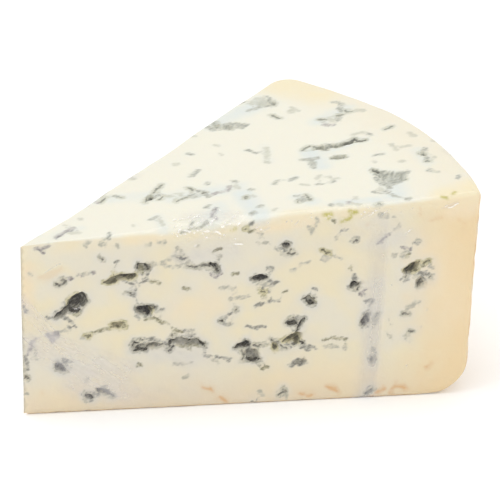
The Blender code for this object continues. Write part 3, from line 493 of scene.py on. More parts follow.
# %% The top's strokes
TOP_STROKES = {
    "black": (
        (71.8, 27.4, .45, 72.6, 27.5, .7, 73.4, 27.4, .55, 74, 27.3, .25),
        (70.2, 33.4, .4, 70.2, 32.5, .5),
        (73.2, 33, .5, 74.4, 34, .42, 75.6, 34.4, .45, 76.6, 34.9, .45, 77.4, 35.8, .42, 78, 34.8,
         .42, 79, 34.4, .42, 79.6, 34.6, .3), (79.2, 19, .3, 79.5, 18.2, .6, 80, 17.2, .45),
        (29.2, 16.4, .33, 29.8, 17.4, .52, 30.2, 18.4, .38),
    ),
    "dark": (
        (28.6, 15.4, .2, 29.2, 16.4, .33),
        (30.8, 20, .33, 31.6, 21.2, .33, 32.4, 22, .33, 33.2, 23.6, .22),
        (31.8, 16, .28, 32.4, 16.6, .28, 32.9, 17.4, .22),
        (35.3, 13.9, .22, 36, 14.6, .22, 36.8, 15.2, .38, 37.8, 15.6, .45),
        (65.6, 33.6, .33, 66.4, 34.6, .38, 67.2, 35, .45),
        (68.2, 34.4, .4, 69, 33.8, .45, 70, 34.2, .45), (73, 34, .5, 73.2, 33, .45),
        (48.4, 50.9, .38, 48.9, 50.2, .33, 49.4, 49.6, .33, 50.2, 49, .38, 50.8, 48.5, .28, 51.4,
         48.1, .18), (61, 53.4, .28, 61.5, 52.6, .38, 62, 51.9, .38, 62.6, 51.4, .33),
        (62.2, 60.6, .4, 62.2, 58.8, .45), (75.2, 49.6, .35, 76, 49.5, .55, 76.8, 49.9, .35),
        (77.8, 51.8, .33, 78, 50.9, .45, 79, 50.8, .28),
        (90.3, 24.4, .38, 91, 24.4, .62, 91.4, 23.4, .42), (91.2, 19.8, .38, 91.9, 19.9, .33),
        (50, 10.6, .18, 50.4, 11.6, .35, 50.7, 12.2, .33),
        (82, 12.4, .6, 82.8, 12, .7, 84, 12, .6, 85.2, 12.2, .5), (61.1, 5.6, .25, 61.2, 6.6, .22),
        (63.1, 9.4, .28, 63.5, 8.2, .33, 63.8, 7, .45, 63.6, 6.2, .38),
        (18.6, 20.8, .4, 18.9, 20.9, .4), (23.7, 19.1, .3, 24, 19, .3),
        (19, 17.6, .22, 19.6, 18.6, .33, 20.2, 19.6, .22), (77.6, .4, .28, 78.2, 1.2, .45),
        (41.3, 16.9, .4, 41.8, 17.1, .45), (38.6, 20.6, .3, 39, 19.8, .35, 39.4, 19, .25),
        (71, 48.6, .35, 71.8, 48.6, .5, 72.6, 48.3, .42), (85, 39, .33, 85.6, 39.3, .4, 86.4, 40, .33),
        (15, 17.2, .25, 15.4, 17.4, .25),
    ),
    "grey": (
        (79.6, 16.4, .6, 81, 17, .8, 81.2, 15.6, .7),
        (79.3, 15, .4, 79.6, 13, .6, 80.4, 11.6, .8, 81.4, 10.2, .8, 81.3, 8.6, .4),
        (81.6, 13.6, .9, 82.6, 12.6, 1.1), (81.7, 14.6, 1.2, 83.4, 14.4, 1.2), (81.4, 17, .7, 83, 16, .8),
        (84.2, 13.4, 1, 85, 14.6, 1.1, 85.8, 15.4, .8, 86.3, 16, .45),
        (84.2, 15.8, .7, 84.6, 14.8, .8), (82, 10.8, 1, 84.4, 11.6, .5), (80.6, 7, .45, 80.6, 6, .42),
        (81.2, 5, .28, 82, 3.8, .38, 82.9, 3, .28), (84.2, 1.4, .33, 84.7, 1.7, .35),
        (71.2, 34.2, .8, 71.9, 33.6, .9),
        (58.4, 58.2, .42, 59.2, 58.2, .48, 60.4, 58.5, .38, 61.6, 58.3, .45),
        (61.2, 63.5, .33, 61.6, 61.8, .45, 62.2, 60.2, .45),
        (56.2, 56.9, .38, 57.2, 57.2, .38, 58, 57.6, .33), (54.4, 61.8, .55, 55.6, 62.2, .45),
        (48.2, 53, .65, 48.3, 52, .6), (46.6, 50.6, .8, 47.4, 49.6, 1),
        (50.6, 50.4, 1.1, 52.4, 50.2, 1.1, 53.6, 49.2, .9, 54.8, 49.9, .55),
        (53.8, 48.4, .5, 54.8, 49.6, .45), (46, 52.6, .35, 46.4, 52.7, .35),
        (75.4, 56.8, .33, 76.4, 56.8, .45, 77.2, 55.8, .55, 77.4, 54.8, .38),
        (76.4, 53.4, .42, 76.6, 52.2, .38, 76.9, 51.2, .33), (75.4, 48.2, .65, 75.2, 47.2, .55),
        (80.8, 38, .3, 81.2, 37.2, .38), (38.6, 16, .85, 39.4, 15.4, .65),
        (41.2, 16, .55, 42.2, 15, .5, 42.3, 14.2, .3),
        (40.4, 18.2, .33, 41.4, 17.6, .45, 42.2, 16.6, .5),
        (39.9, 26.2, .38, 40.5, 27.2, .5, 41.2, 28.2, .38, 42, 29.2, .22),
        (22.1, 20.1, .3, 22.9, 19.9, .4, 23.4, 19.4, .35), (31, 17.6, .5, 32, 18.8, .45),
        (19.6, 22.2, .45, 20.4, 23.2, .38), (42.9, 21.2, .35, 43.2, 22.2, .35),
        (48.7, 21.4, .33, 49.3, 20.8, .38), (51.5, 15.4, .2, 51.8, 15.9, .2),
        (52.2, 15.4, .33, 52.5, 15.4, .3), (50.4, 2.8, .45, 51.3, 3.4, .35),
        (52.8, 5.6, .45, 53, 6, .4), (57.2, 17.2, .35, 58, 18.9, .28),
        (60.9, 18.2, .28, 61.5, 18.6, .42, 62.4, 19.3, .33), (61.6, 7, .8, 62.6, 6.4, .85, 62.8, 8, .6),
        (61, 9.4, .33, 61.5, 9.3, .3), (66.5, 14.4, .3, 67.2, 14.4, .33),
        (69.9, 15, .38, 69.4, 14.6, .28), (65, 28.6, .6, 66.5, 28, .85, 68.1, 28.4, .5),
        (66.6, 26.4, .75, 66.9, 24.8, .65, 66.9, 23.6, .42), (67.6, 2.6, .38, 68.2, 3.3, .33),
        (91.7, 25.6, .38, 92.2, 26.4, .28), (91.7, 22, .35, 91.6, 20.8, .33),
        (80.4, 25.9, .33, 82.3, 26.2, .38), (77.7, 7.8, .22, 78.1, 7, .25, 78.7, 6.2, .18),
        (96.5, 9.2, .28, 97, 10.2, .33), (91.3, 15.6, .35, 91, 14.6, .3),
        (18.9, .2, .2, 19.3, 1.2, .2, 19.6, 2.2, .14),
        (28.9, 6.3, .38, 29.5, 6.8, .33, 30.3, 7.6, .38, 31, 7.7, .18),
        (40.6, 38.6, .38, 41.2, 37.8, .42), (53.6, 37, .33, 54.4, 35.8, .38, 55.4, 34.6, .28),
        (40, .8, .28, 40.6, 2, .28), (37, 1, .22, 37.6, 2.6, .22), (41.2, 8.8, .33, 42, 9.9, .42),
    ),
    "violet": (
        (42.1, 4.8, .15, 42.6, 6, .18, 43, 7.4, .18), (42.4, 3.2, .2, 42.7, 2.8, .2),
        (43.6, 15.6, .33, 44.4, 16.2, .28, 45.6, 16.2, .28, 46.6, 16.4, .22),
        (46.8, 16.2, .22, 47.2, 17.2, .28, 47.7, 18.8, .33),
        (71.8, 45.4, .28, 72.8, 45, .42, 73.8, 44.8, .38),
        (8, 2.8, .2, 9, 4, .28, 10.4, 5, .33, 11.2, 5.6, .28, 12.2, 6.5, .22),
        (71.6, 2.6, .38, 71.8, 3.2, .35), (18.3, 17.8, .45, 18.8, 17.5, .4),
    ),
    "faint": (
        (58, 60.6, 1.1, 60.4, 60.8, 1.3), (59, 62.4, .7, 60, 62.6, .7),
        (66.2, 56.4, .38, 67, 54.2, .48), (65.8, 55, .7, 65.8, 54, .7), (80.4, 51, .8, 80.9, 50.8, .8),
        (73.5, 49, .45, 73.8, 47, .6), (77.4, 38.2, .45, 79.4, 38.8, .3, 80.2, 38.8, .25),
        (89.8, 35.4, .45, 90.4, 33.6, .55), (46.8, 40.9, .3, 47.4, 40.4, .3),
        (47.5, 36.5, .33, 47.7, 35.9, .33), (57.8, 37, .33, 57.6, 33, .42, 57.4, 31.8, .38),
        (57.1, 29.8, .5, 57.4, 29.4, .5), (37, 33.4, .5, 37.6, 33.4, .5),
        (42.5, 46.9, .42, 43, 46.6, .4), (84.8, 30.6, .33, 85.4, 29, .38, 85.8, 27.4, .38),
        (87, 28.4, .38, 88.8, 28.8, .38), (94.3, 30.2, .45, 94.6, 30, .4),
        (93.1, 21.7, .38, 93.4, 21.5, .35), (92.2, 13.9, .42, 92.5, 13.6, .42),
        (66.8, 17.4, .33, 67.3, 19, .33), (70, 16.6, .45, 71.2, 16.6, .38),
        (69.3, 17.8, .28, 69.5, 17.2, .28), (63, 15.2, .28, 64.4, 14.7, .28),
        (48.9, 18.6, .65, 49, 17.2, .5), (55.4, 3.2, .45, 55.8, 3.4, .42),
        (52, 12.2, .38, 52.1, 11.6, .35), (25.4, 28.8, .45, 26.6, 28.4, .55, 27.6, 27.9, .38),
        (10.4, 8.2, .2, 10.6, 8.3, .2), (14, 11.2, .4, 14.3, 10.6, .4), (25, 4.8, .18, 25.1, 4.1, .18),
        (30.6, 6.5, .2, 31, 4.8, .3, 31.2, 3, .35), (11, 4.2, .55, 13, 3.6, .5),
        (36, 18.2, .38, 36.6, 17, .33), (79.4, 8.6, .6, 79.5, 8, .6), (72.2, 2.6, .45, 73.6, 1.8, .38),
        (73.6, 5.4, .28, 73.6, 4.9, .28), (79.9, 23, .28, 80.1, 22.6, .28),
        (85.8, 21.6, .45, 86.2, 21.4, .45), (69.4, 2.7, .55, 69.8, 2.5, .5),
        (34, 17.4, .5, 34.4, 17, .5),
    ),
}
print(sum(map(len, TOP_STROKES.values())), "strokes on the top")

# %% [markdown]
# ### Open pockets
#
# The larger pockets are real hollows, so they have to be in the mesh. Each is a flattened oval:
# along, up, length, height, tilt in degrees and depth. They are the solid's own pockets, at the
# same places. The back cut was never seen: its pockets are drawn at random from the front's
# sizes by the solid's rule and seed.

# %% Pockets of the front cut and the top
FRONT_POCKETS = (
    (12.2, 26.6, 5.4, 3.2, 42, 2.8), (9, 24.1, 4.6, 1.3, 36, 1.6), (21.6, 31.7, 7.6, 1.4, 12, 1.9),
    (26.8, 33.9, 3.2, 2.2, -12, 1.5), (26.7, 23.9, 3.8, 2.3, -4, 2.6),
    (20.9, 20.6, 3.3, 1.3, 0, 1.5), (26.9, 15.2, 6.8, 1.7, 5, 1.3),
    (35.6, 15.9, 7.6, 1.8, -6, 1.7), (42, 33.4, 2.6, 1, -32, 1.3), (51.9, 30, 3.9, 1.4, -4, 2.4),
    (57.7, 37.5, 1.7, 1.2, -10, 1.6), (48.4, 14.5, 3.6, 1.5, 18, 1.5),
    (50.2, 12, 3.8, 2.8, -40, 1.9), (59.4, 15.6, 4.6, 1.8, 16, 1.9), (61.2, 18.9, 3.2, .9, 62, 1),
    (59.1, 19.4, 2.8, 1.3, 8, 1.1), (55.2, 14, 1.9, 1.3, -30, 1.1),
    (72.7, 27.5, 1.9, 1.5, -14, 1.8), (75.2, 19.1, 3.2, 1.6, 64, 2),
    (85.2, 30.8, 4.4, 1.9, 28, 2.4), (87.2, 27.3, 2.4, 1.7, 58, 1.3),
    (8.3, 11.2, 2.8, 1.8, -30, 1.5), (17.4, 4.9, 3.4, 1.4, -24, 1.3),
    (14.4, 3.9, 1.8, 1.1, -10, 1.2), (63, 24.2, 2.5, 1.3, -36, 1.2), (60.9, 9.7, 3.4, 1.3, 14, .9),
    (76.6, 9.4, 2.2, 1.3, 72, .9),
)
TOP_POCKETS = (
    (72, 33.6, 12.6, 1.7, 7, 1.1), (72.7, 27.5, 2.8, 2, 0, 1.4), (82.6, 14.6, 7.4, 5, -34, 1),
    (49.5, 50.2, 6.8, 2.2, -26, .8), (60.6, 60.2, 5.4, 3, 24, .7), (30.2, 17.8, 3.4, 1.8, 62, .9),
    (91, 24.4, 3.4, 1.6, -66, .7),
)
BACK_POCKET_COUNT = 14
BACK_POCKET_SEED = 7
BACK_POCKET_ALONG = (8, 90)
BACK_POCKET_UP = (4, 36)
BACK_POCKET_TILT = (-25, 35)
BACK_POCKET_GAP = 9  # between two middles
UP_COUNTS = 1.6  # pockets are flat, so a way up counts as so much longer


def random_back_pockets():
    """Pockets for the back cut, kept apart, with sizes drawn from the front's."""
    rng = random.Random(BACK_POCKET_SEED)
    found = []
    while len(found) < BACK_POCKET_COUNT:
        along, up = rng.uniform(*BACK_POCKET_ALONG), rng.uniform(*BACK_POCKET_UP)
        gaps = [math.hypot(along - p[0], UP_COUNTS * (up - p[1])) for p in found]
        if min(gaps, default=math.inf) > BACK_POCKET_GAP:
            length, height, depth = (rng.choice(FRONT_POCKETS)[i] for i in (2, 3, 5))
            tilt = rng.uniform(*BACK_POCKET_TILT)
            found.append((along, up, length, height, tilt, depth))
    return found


BACK_POCKETS = random_back_pockets()
print(len(FRONT_POCKETS), "pockets in front,", len(TOP_POCKETS), "on top,", len(BACK_POCKETS), "behind")

# %% [markdown]
# The back cut gets the same kinds of strokes by a rule. Round each pocket go a dark core, a few
# arms at its ends in other tones, and loose weak strokes fill the space between. The seed is
# fixed, so the back looks the same each time.

# %% The back cut's strokes
BEND = 0.25  # of a stroke's length
THIN_END = 0.4  # of its half-width in the middle
CORE_LENGTH, CORE_HALF = 0.75, 0.34  # of the pocket's length and height
CORE_TONES = ("black", "olive", "dark", "dark")
ARM_COUNT, ARM_OUT, ARM_UP = (2, 4), (0.3, 0.8), (-2, 2)
ARM_LENGTH, ARM_HALF, ARM_TURN = (1.5, 4.5), (0.22, 0.5), (-0.7, 0.7)
ARM_TONES = ("dark", "grey", "grey", "faint")
STRAY_COUNT = 60
STRAY_ALONG, STRAY_UP = (2, 97), (1, 43)
STRAY_LENGTH, STRAY_HALF, STRAY_TURN = (0.6, 3.4), (0.2, 0.5), (-0.3, 0.5)
STRAY_TONES = ("grey", "grey", "violet", "faint", "faint", "dark")


def short_stroke(rng, along, up, length, half, tilt):
    """A gently bent stroke about a centre, thin at its ends."""
    run, rise = length / 2 * math.cos(tilt), length / 2 * math.sin(tilt)
    bend = rng.uniform(-BEND, BEND) * length
    middle = (along - bend * math.sin(tilt), up + bend * math.cos(tilt))
    thin = THIN_END * half
    return (along - run, up - rise, thin, *middle, half, along + run, up + rise, thin)


def pocket_arm(rng, along, up, length, tilt):
    """The tone and the numbers of one arm beside a pocket."""
    side = rng.choice((-1, 1))
    there = along + side * rng.uniform(*ARM_OUT) * length, up + rng.uniform(*ARM_UP)
    turned = tilt + rng.uniform(*ARM_TURN)
    tone = rng.choice(ARM_TONES)
    return tone, short_stroke(rng, *there, rng.uniform(*ARM_LENGTH), rng.uniform(*ARM_HALF), turned)


def back_strokes():
    """Strokes for the back cut, grouped by tone."""
    rng = random.Random(BACK_POCKET_SEED + 1)
    strokes = {tone: [] for tone in TONES}
    for along, up, length, height, tilt, _ in BACK_POCKETS:
        tilt = math.radians(tilt)
        tone = rng.choice(CORE_TONES)
        core = short_stroke(rng, along, up, CORE_LENGTH * length, CORE_HALF * height, tilt)
        strokes[tone].append(core)
        for _ in range(rng.randint(*ARM_COUNT)):
            tone, arm = pocket_arm(rng, along, up, length, tilt)
            strokes[tone].append(arm)
    for _ in range(STRAY_COUNT):
        there = rng.uniform(*STRAY_ALONG), rng.uniform(*STRAY_UP)
        tone = rng.choice(STRAY_TONES)
        size = rng.uniform(*STRAY_LENGTH), rng.uniform(*STRAY_HALF)
        strokes[tone].append(short_stroke(rng, *there, *size, rng.uniform(*STRAY_TURN)))
    return strokes


BACK_STROKES = back_strokes()
print(sum(map(len, BACK_STROKES.values())), "strokes on the back cut")

# %% [markdown]
# ### Drawing planes
#
# Each side of the wedge has its own drawing plane. A small function turns a drawn place into a
# point in space near that side. On the front, a place above the edge is seen lying on the top, so
# it slides back along the line of sight.

# %% Drawing planes
SLANT_UP = math.tan(VIEW_ELEVATION)
SLANT_ALONG = math.tan(-VIEW_AZIMUTH)
FRONT_SHIFT = (0.05, -0.2)  # the wavy cut lies a little behind the plane that was drawn on


def on_front(along, up):
    """A point of the front cut, or of the top where the view shows it above the edge."""
    along, up = along + FRONT_SHIFT[0], up + FRONT_SHIFT[1]
    back = 0.0
    for _ in range(3):  # the top is nearly level, so a few rounds find its height
        edge = TIP_HEIGHT + TOP_SLOPE * math.hypot(along, back)
        back = max(0.0, (up - edge) / SLANT_UP)
    return along + SLANT_ALONG * back, back, min(up, edge)


def on_top(x, y):
    """A point of the top."""
    return x, y, TIP_HEIGHT + TOP_SLOPE * math.hypot(x, y)


def on_back(along, up):
    """A point of the back cut."""
    return along * math.cos(WEDGE_ANGLE), along * math.sin(WEDGE_ANGLE), up


def on_rind(turn, up):
    """A point of the rind, this many degrees round from the front cut."""
    angle = math.radians(turn)
    return WHEEL_RADIUS * math.cos(angle), WHEEL_RADIUS * math.sin(angle), up


def on_base(x, y):
    """A point of the underside."""
    return x, y, 0.0


print("a point 45 mm up at 60 mm along lies at", [round(c, 1) for c in on_front(60, 45)])

# %% [markdown]
# Other stains are drawn as strokes too: amber specks low on the front, where the rind's colour
# seeps in, and yellow-green young mould on the top's front edge. Wide, weak patches of bluish
# bloom and of warmer paste are added where the photograph shows them. A patch is a row of
# half-width, strength and the places that it runs through.

# %% Stains and patches
AMBER_STROKES = (
    (39.4, 4.8, .2, 40.2, 4.4, .3, 41.2, 4.1, .5, 41.6, 3.6, .3),
    (43.2, 2.1, .3, 44, 1.2, .4, 44.6, .5, .3), (60.8, 1.9, .35, 61.5, 1.9, .45),
    (62.4, 1.5, .38, 63.4, 1.5, .3), (66.7, 3.4, .3, 67.4, 3, .5, 68.4, 2.8, .62, 68.9, 2.2, .4),
    (88.4, 6.9, .25, 89.4, 7.1, .48, 90.2, 7.4, .35), (77.8, 1.5, .38, 78.7, 1.9, .38, 79.4, 2.2, .3),
    (81, 1.9, .3, 81.7, 2.6, .38, 82.4, 2.6, .3, 83.3, 2.3, .38, 84.2, 2, .33, 85.6, 2.1, .15),
    (80.6, .9, .28, 81.2, .9, .28), (76.2, .3, .2, 77, .5, .33),
)
WEAK_AMBER_AND_SHADE_STROKES = (
    (86.9, 43.6, .35, 87.1, 43.1, .28), (86.7, 44.8, .28, 86.9, 44.3, .28),
    (89.2, 41.6, .28, 90.4, 42.1, .45, 91.8, 42.2, .45), (95.2, 41.5, .35, 95.6, 41.4, .35),
    (96.5, 40.9, .28, 96.8, 40.7, .25), (96.2, 39.7, .18, 96.2, 39.3, .18),
    (75.3, 41.3, .35, 75.8, 41.3, .35), (4.1, 5.5, .2, 4.3, 5.1, .2),
    # painted shade: this row is a pinkish shadow under a fold of film, drawn as faint amber
    (4, 32.4, .5, 6.5, 33.2, .9, 8.8, 34.6, .4),
)
MOSS_STROKES = (
    (66, 44.4, .4, 67.2, 44.2, .65, 66.9, 43.4, .3),
    (69.8, 42.5, .28, 70.3, 42.8, .38, 71.2, 43.1, .38, 71.8, 43.6, .33),
    (72.8, 44.5, .6, 71.6, 45.2, .45), (46, 42, .3, 46.5, 42.2, .33), (91.6, 47.9, .3, 92.6, 47.5, .4),
    (94, 48.3, .3, 94.3, 48.7, .3),
)
PATCHES = {
    on_front: (
        (3.6, .5, 21.5, 30, 28.5, 33), (3, .5, 25, 22.5, 30, 23), (3.4, .45, 8.5, 22, 12.5, 28),
        (3.6, .6, 26, 15, 39, 15), (3.6, .6, 29, 13.5, 36.5, 12.2), (3, .45, 39, 12, 46, 11),
        (4.6, .6, 48.5, 13, 62, 14.5), (3.4, .55, 50.5, 30, 57.5, 35),
        (3.6, .45, 37, 35.5, 46, 36.5), (3, .35, 60, 37, 72, 38.5), (3, .5, 74, 36.5, 83, 37.5),
        (3.4, .45, 70.5, 28, 77, 27), (3.4, .5, 75, 20, 77, 9), (3.4, .4, 84, 35, 88.5, 28),
        (3.4, .35, 52, 19, 62, 24.5),
    ),
    on_top: (
        (3.4, .9, 67, 32, 68.5, 24), (3, .7, 71, 31.5, 78, 35), (4.5, .6, 41, 2, 44, 8.5),
        (3.6, .9, 52, 1.5, 50, 14), (2.2, .6, 30.5, 8, 31.3, .5), (2.8, .7, 70, 3.5, 78, 3),
        (3, .8, 61.5, 8.5, 64, 5.5), (4.4, .8, 82.5, 14.5, 82, 4), (3.6, .6, 18, 19, 31, 18.5),
        (4.4, .7, 35, 16.5, 49, 17.5), (3.6, .7, 71, 47.5, 78, 53), (4.4, .8, 47, 51.5, 60, 60.5),
        (2.8, .6, 90, 26, 91.5, 19), (2.4, .5, 8, 4, 13.5, 6), (2.6, .4, 57.5, 30, 57.5, 38),
    ),
}
WARM_PATCHES = {
    on_front: (
        (1.6, .7, 23, 40.6, 31, 40.4), (2, .7, 52, 41.6, 63, 42.6), (3, .8, .6, 26.5, 1, 34.5),
        (6, .5, 35, 23.5, 42, 25), (5, .35, 2, 3, 12, 3), (5, .4, 57, 6, 72, 6),
        (7, .5, 90, 34, 95, 20), (3, 1, 94, 43.8, 98.5, 44.5),
    ),
    on_top: (
        (6, 1, 94, 1.5, 99, 3.5), (2.4, .5, 58, .6, 74, .8), (7, .9, 64, 70, 73, 62),
    ),
}


def drawn_rows(table):
    """Each row of a table by plane, as its plane, half-width, strength and places."""
    for plane, rows in table.items():
        for half, strength, *flat in rows:
            yield plane, half, strength, list(zip(flat[::2], flat[1::2]))


bloom_count, warm_count = (len(list(drawn_rows(table))) for table in (PATCHES, WARM_PATCHES))
print(bloom_count, "patches of bloom and", warm_count, "of warmer paste")

# %% [markdown]
# ### Distance to a stroke
#
# The distance from a point to a stroke decides how strong the vein is there. Only points near the
# stroke are worth measuring. The points are first pushed about by a little noise, in two sizes,
# so that a straight stroke gets the ragged edge of real mould. The push is only along the surface,
# or a stroke would break where the noise leads out of it.

# %% Paths and distances
PATH_STEP = 1.0
TINY = 1e-6  # keeps a share of nothing from dividing by zero


def threes(row):
    """A stroke's numbers as (along, up, half-width)."""
    return list(zip(row[::3], row[1::3], row[2::3]))


def path_near(plane, drawn):
    """A drawn line as points in space about a millimetre apart, and what else rides along it."""
    dense = []
    for start, end in zip(drawn, drawn[1:]):
        dense += between(start, end, PATH_STEP)
    dense.append(drawn[-1])
    return np.array([plane(*p[:2]) for p in dense]), np.array([p[2:] for p in dense])


def nearest_of(points, start, end):
    """Each point's share of the way along one leg of a path, and the way from there to it."""
    along = end - start
    share = np.clip((points - start) @ along / max(along @ along, TINY), 0, 1)
    return share, points - start - share[:, None] * along


def inside_stroke(points, path, halves):
    """How far each point lies inside a stroke whose half-width changes along its path."""
    best = np.full(len(points), -np.inf)
    for start, end, first, last in zip(path, path[1:], halves, halves[1:]):
        share, way = nearest_of(points, start, end)
        best = np.maximum(best, first + (last - first) * share - np.linalg.norm(way, axis=1))
    return best


def distance_to_path(points, path):
    """How far each point is from a path, its place along it from 0 to 1, and the way to it."""
    best = np.full(len(points), np.inf)
    place = np.zeros(len(points))
    offset = np.zeros((len(points), 3))
    lengths = np.linalg.norm(np.diff(path, axis=0), axis=1)
    total = max(float(lengths.sum()), TINY)
    done = 0.0
    for start, end, length in zip(path, path[1:], lengths):
        share, way = nearest_of(points, start, end)
        distance = np.linalg.norm(way, axis=1)
        closer = distance < best
        best[closer] = distance[closer]
        place[closer] = (done + share[closer] * length) / total
        offset[closer] = way[closer]
        done += length
    return best, place, offset


def near(points, path, margin):
    """The numbers of the points in the path's box, grown by a margin."""
    low, high = path.min(axis=0) - margin, path.max(axis=0) + margin
    return np.flatnonzero(np.all((points > low) & (points < high), axis=1))


probe = distance_to_path(np.array([[0.0, 1.0, 0.0]]), np.array([[-1.0, 0, 0], [1.0, 0, 0]]))
print("a point 1 mm beside the middle of a path:", [np.round(p, 2).tolist() for p in probe])

# %% Noise
RAGGED = ((0.36, 2.6, 11.3), (0.2, 0.9, 4.7))  # height, length and seed of each size


def drift(points, length, seed=0.0):
    """A smooth random offset for each point, about half a unit long, that changes over length."""
    return np.array([noise.noise_vector(Vector(p)) for p in points / length + seed])


def pushed(points, normals):
    """The points moved along the surface by two sizes of noise."""
    push = sum(height * drift(points, length, seed) for height, length, seed in RAGGED)
    return points + push - (push * normals).sum(axis=1)[:, None] * normals


print("a drift of noise:", np.round(drift(np.array([[10.0, 20.0, 30.0]]), 5.0), 2).tolist())

# %% [markdown]
# ## The skin of the wedge
#
# A value on the mesh can be no sharper than the mesh is fine, and most veins are only half a
# millimetre wide. A grid that is fine enough would need most of a million triangles. So the
# points are spread by need: close together where a stroke or a pocket is, and far apart in plain
# paste. Delaunay's method joins any scatter of points well, so each side is filled with it: the
# two cuts, the top and the underside. Only the rind is a plain grid.

# %% Points by need
FINE_STEP = 0.25
COARSE_STEP = 1.15
SIDE_LEVELS = 104
TOP_ROW_STEP = 0.42
BASE_STEP = 2.4
RIM_FILLET_ROWS = 13
ROW_HEIGHT = math.sqrt(3) / 2  # of a staggered grid whose points are 1 apart
FINE_REACH = 0.35  # how far the fine points go beyond a stroke's edge
COARSE_GAP = 0.45 * COARSE_STEP  # and the room that the coarse points leave round them
EDGE_ROOM = 0.55  # of a step, between a grid and the side's edge


def fillet_rows(radius, count):
    """Insets at which equal turns of a rounded edge end."""
    return [radius * (1 - math.cos(math.pi / 2 * (i + 1) / count)) for i in range(count)]


def grid(width, height, step):
    """Points of a staggered grid."""
    rows, columns = int(height / (step * ROW_HEIGHT)) + 2, int(width / step) + 1
    row, column = np.mgrid[0:rows, 0:columns]
    u = (column + 0.5 * (row % 2) + 0.25).ravel() * step
    v = (row.ravel() + 0.5) * step * ROW_HEIGHT
    return u, v


def beside(points, normals, marks, reach, ragged):
    """Which points lie within reach of a mark, if its edges are ragged or not."""
    moved = pushed(points, normals) if ragged else points
    found = np.zeros(len(points), bool)
    for path, halves in marks:
        numbers = near(moved, path, halves.max() + reach)
        numbers = numbers[~found[numbers]]
        found[numbers[inside_stroke(moved[numbers], path, halves) > -reach]] = True
    return found


def by_need(width, height, room, place, normal, marks, ragged):
    """Grid points of one side that have enough room, fine beside marks and coarse elsewhere."""
    chosen = []
    for step, wanted in ((FINE_STEP, True), (COARSE_STEP, False)):
        u, v = grid(width, height, step)
        keep = room(u, v) > EDGE_ROOM * step
        u, v = u[keep], v[keep]
        points = place(u, v)
        reach = FINE_REACH if wanted else FINE_REACH + COARSE_GAP
        normals = np.broadcast_to(np.array(normal, float), points.shape)
        found = beside(points, normals, marks, reach, ragged)
        keep = found == wanted
        chosen += list(zip(u[keep].tolist(), v[keep].tolist()))
    return chosen


print("a fine grid on the whole front cut:", len(grid(WHEEL_RADIUS, RIM_HEIGHT, FINE_STEP)[0]))

# %% [markdown]
# A side is filled inside a loop of points that it shares with its neighbours, so the loop keeps
# its numbers and only the points inside are new. The top's rounded edge gets rows that follow
# it, at equal turns of its rounding.

# %% Rows and filling
ROW_ROOM = 0.9  # a row's point may be this much nearer to another part of the outline
MERGE_NEAR = 1e-5


def inward_rows(distances):
    """Points inside the outline, at each of these distances from its points."""
    rows = []
    for i, (x, y) in enumerate(outline):
        before, after = outline[i - 1], outline[(i + 1) % len(outline)]
        along = Vector((after[0] - before[0], after[1] - before[1])).normalized()
        for distance in distances(x, y):
            px, py = x - along.y * distance, y + along.x * distance
            if inset(px, py) > ROW_ROOM * distance:
                rows.append((px, py))
    return rows


def top_rows(x, y):
    """Where the rows of the top's rounded edge lie."""
    radius = float(top_softness(x, y))
    return fillet_rows(radius, max(2, round(radius * math.pi / 2 / TOP_ROW_STEP)))


def base_rows(x, y):
    """Where the rows of the underside's rounded edge lie."""
    if math.hypot(x, y) > WHEEL_RADIUS - BACK_CORNER_RADIUS / 2:
        return fillet_rows(BASE_RIM_RADIUS, RIM_FILLET_ROWS)
    return [BASE_CUT_SOFTNESS]


def fill(numbers, loop, inner, first_new, outwards):
    """Triangles inside a flat loop of numbered points, and the flat points that they add."""
    flat = [Vector(p) for p in loop + inner]
    edges = [(i, (i + 1) % len(loop)) for i in range(len(loop))]
    inside_only = 1
    points, _, triangles, sources, _, _ = delaunay_2d_cdt(flat, edges, [], inside_only, MERGE_NEAR)
    renumbered, added = [], []
    for point, source in zip(points, sources):
        on_loop = [i for i in source if i < len(loop)]
        if on_loop:
            renumbered.append(numbers[on_loop[0]])
        else:
            renumbered.append(first_new + len(added))
            added.append(point[:])
    faces = [[renumbered[i] for i in (t if outwards else reversed(t))] for t in triangles]
    return faces, np.array(added).T


def leaned_and_waved(points):
    """The points moved in with the wall's lean, then by the slow waves that the wire left."""
    radius = np.hypot(points[:, 0], points[:, 1])
    near_rind = smooth((radius / WHEEL_RADIUS - LEAN_FROM) / (1 - LEAN_FROM))
    scale = 1 - near_rind * WALL_LEAN / WHEEL_RADIUS * (1 - points[:, 2] / RIM_HEIGHT)
    moved = points * np.stack([scale, scale, np.ones_like(scale)], axis=1)
    above_base = smooth(points[:, 2] / WAVE_FADE)[:, None]
    return moved + drift(points, WAVE_LENGTH) * WAVE_HEIGHT * above_base


def stacked(x, y, z):
    """Points from their three coordinates."""
    return np.stack(np.broadcast_arrays(x, y, z), axis=-1).astype(float).reshape(-1, 3)


print("rows on the pressed edge:", len(top_rows(40, 0)), "and elsewhere:", len(top_rows(80, 0)))

# %% [markdown]
# The points and faces grow in one shell. It starts with the outline twice, at the underside's
# height and at the top's, so that two neighbouring sides use the same points and no seam opens.
# The wall's upright columns of points are added next, and each flat side is then filled inside
# its loop.

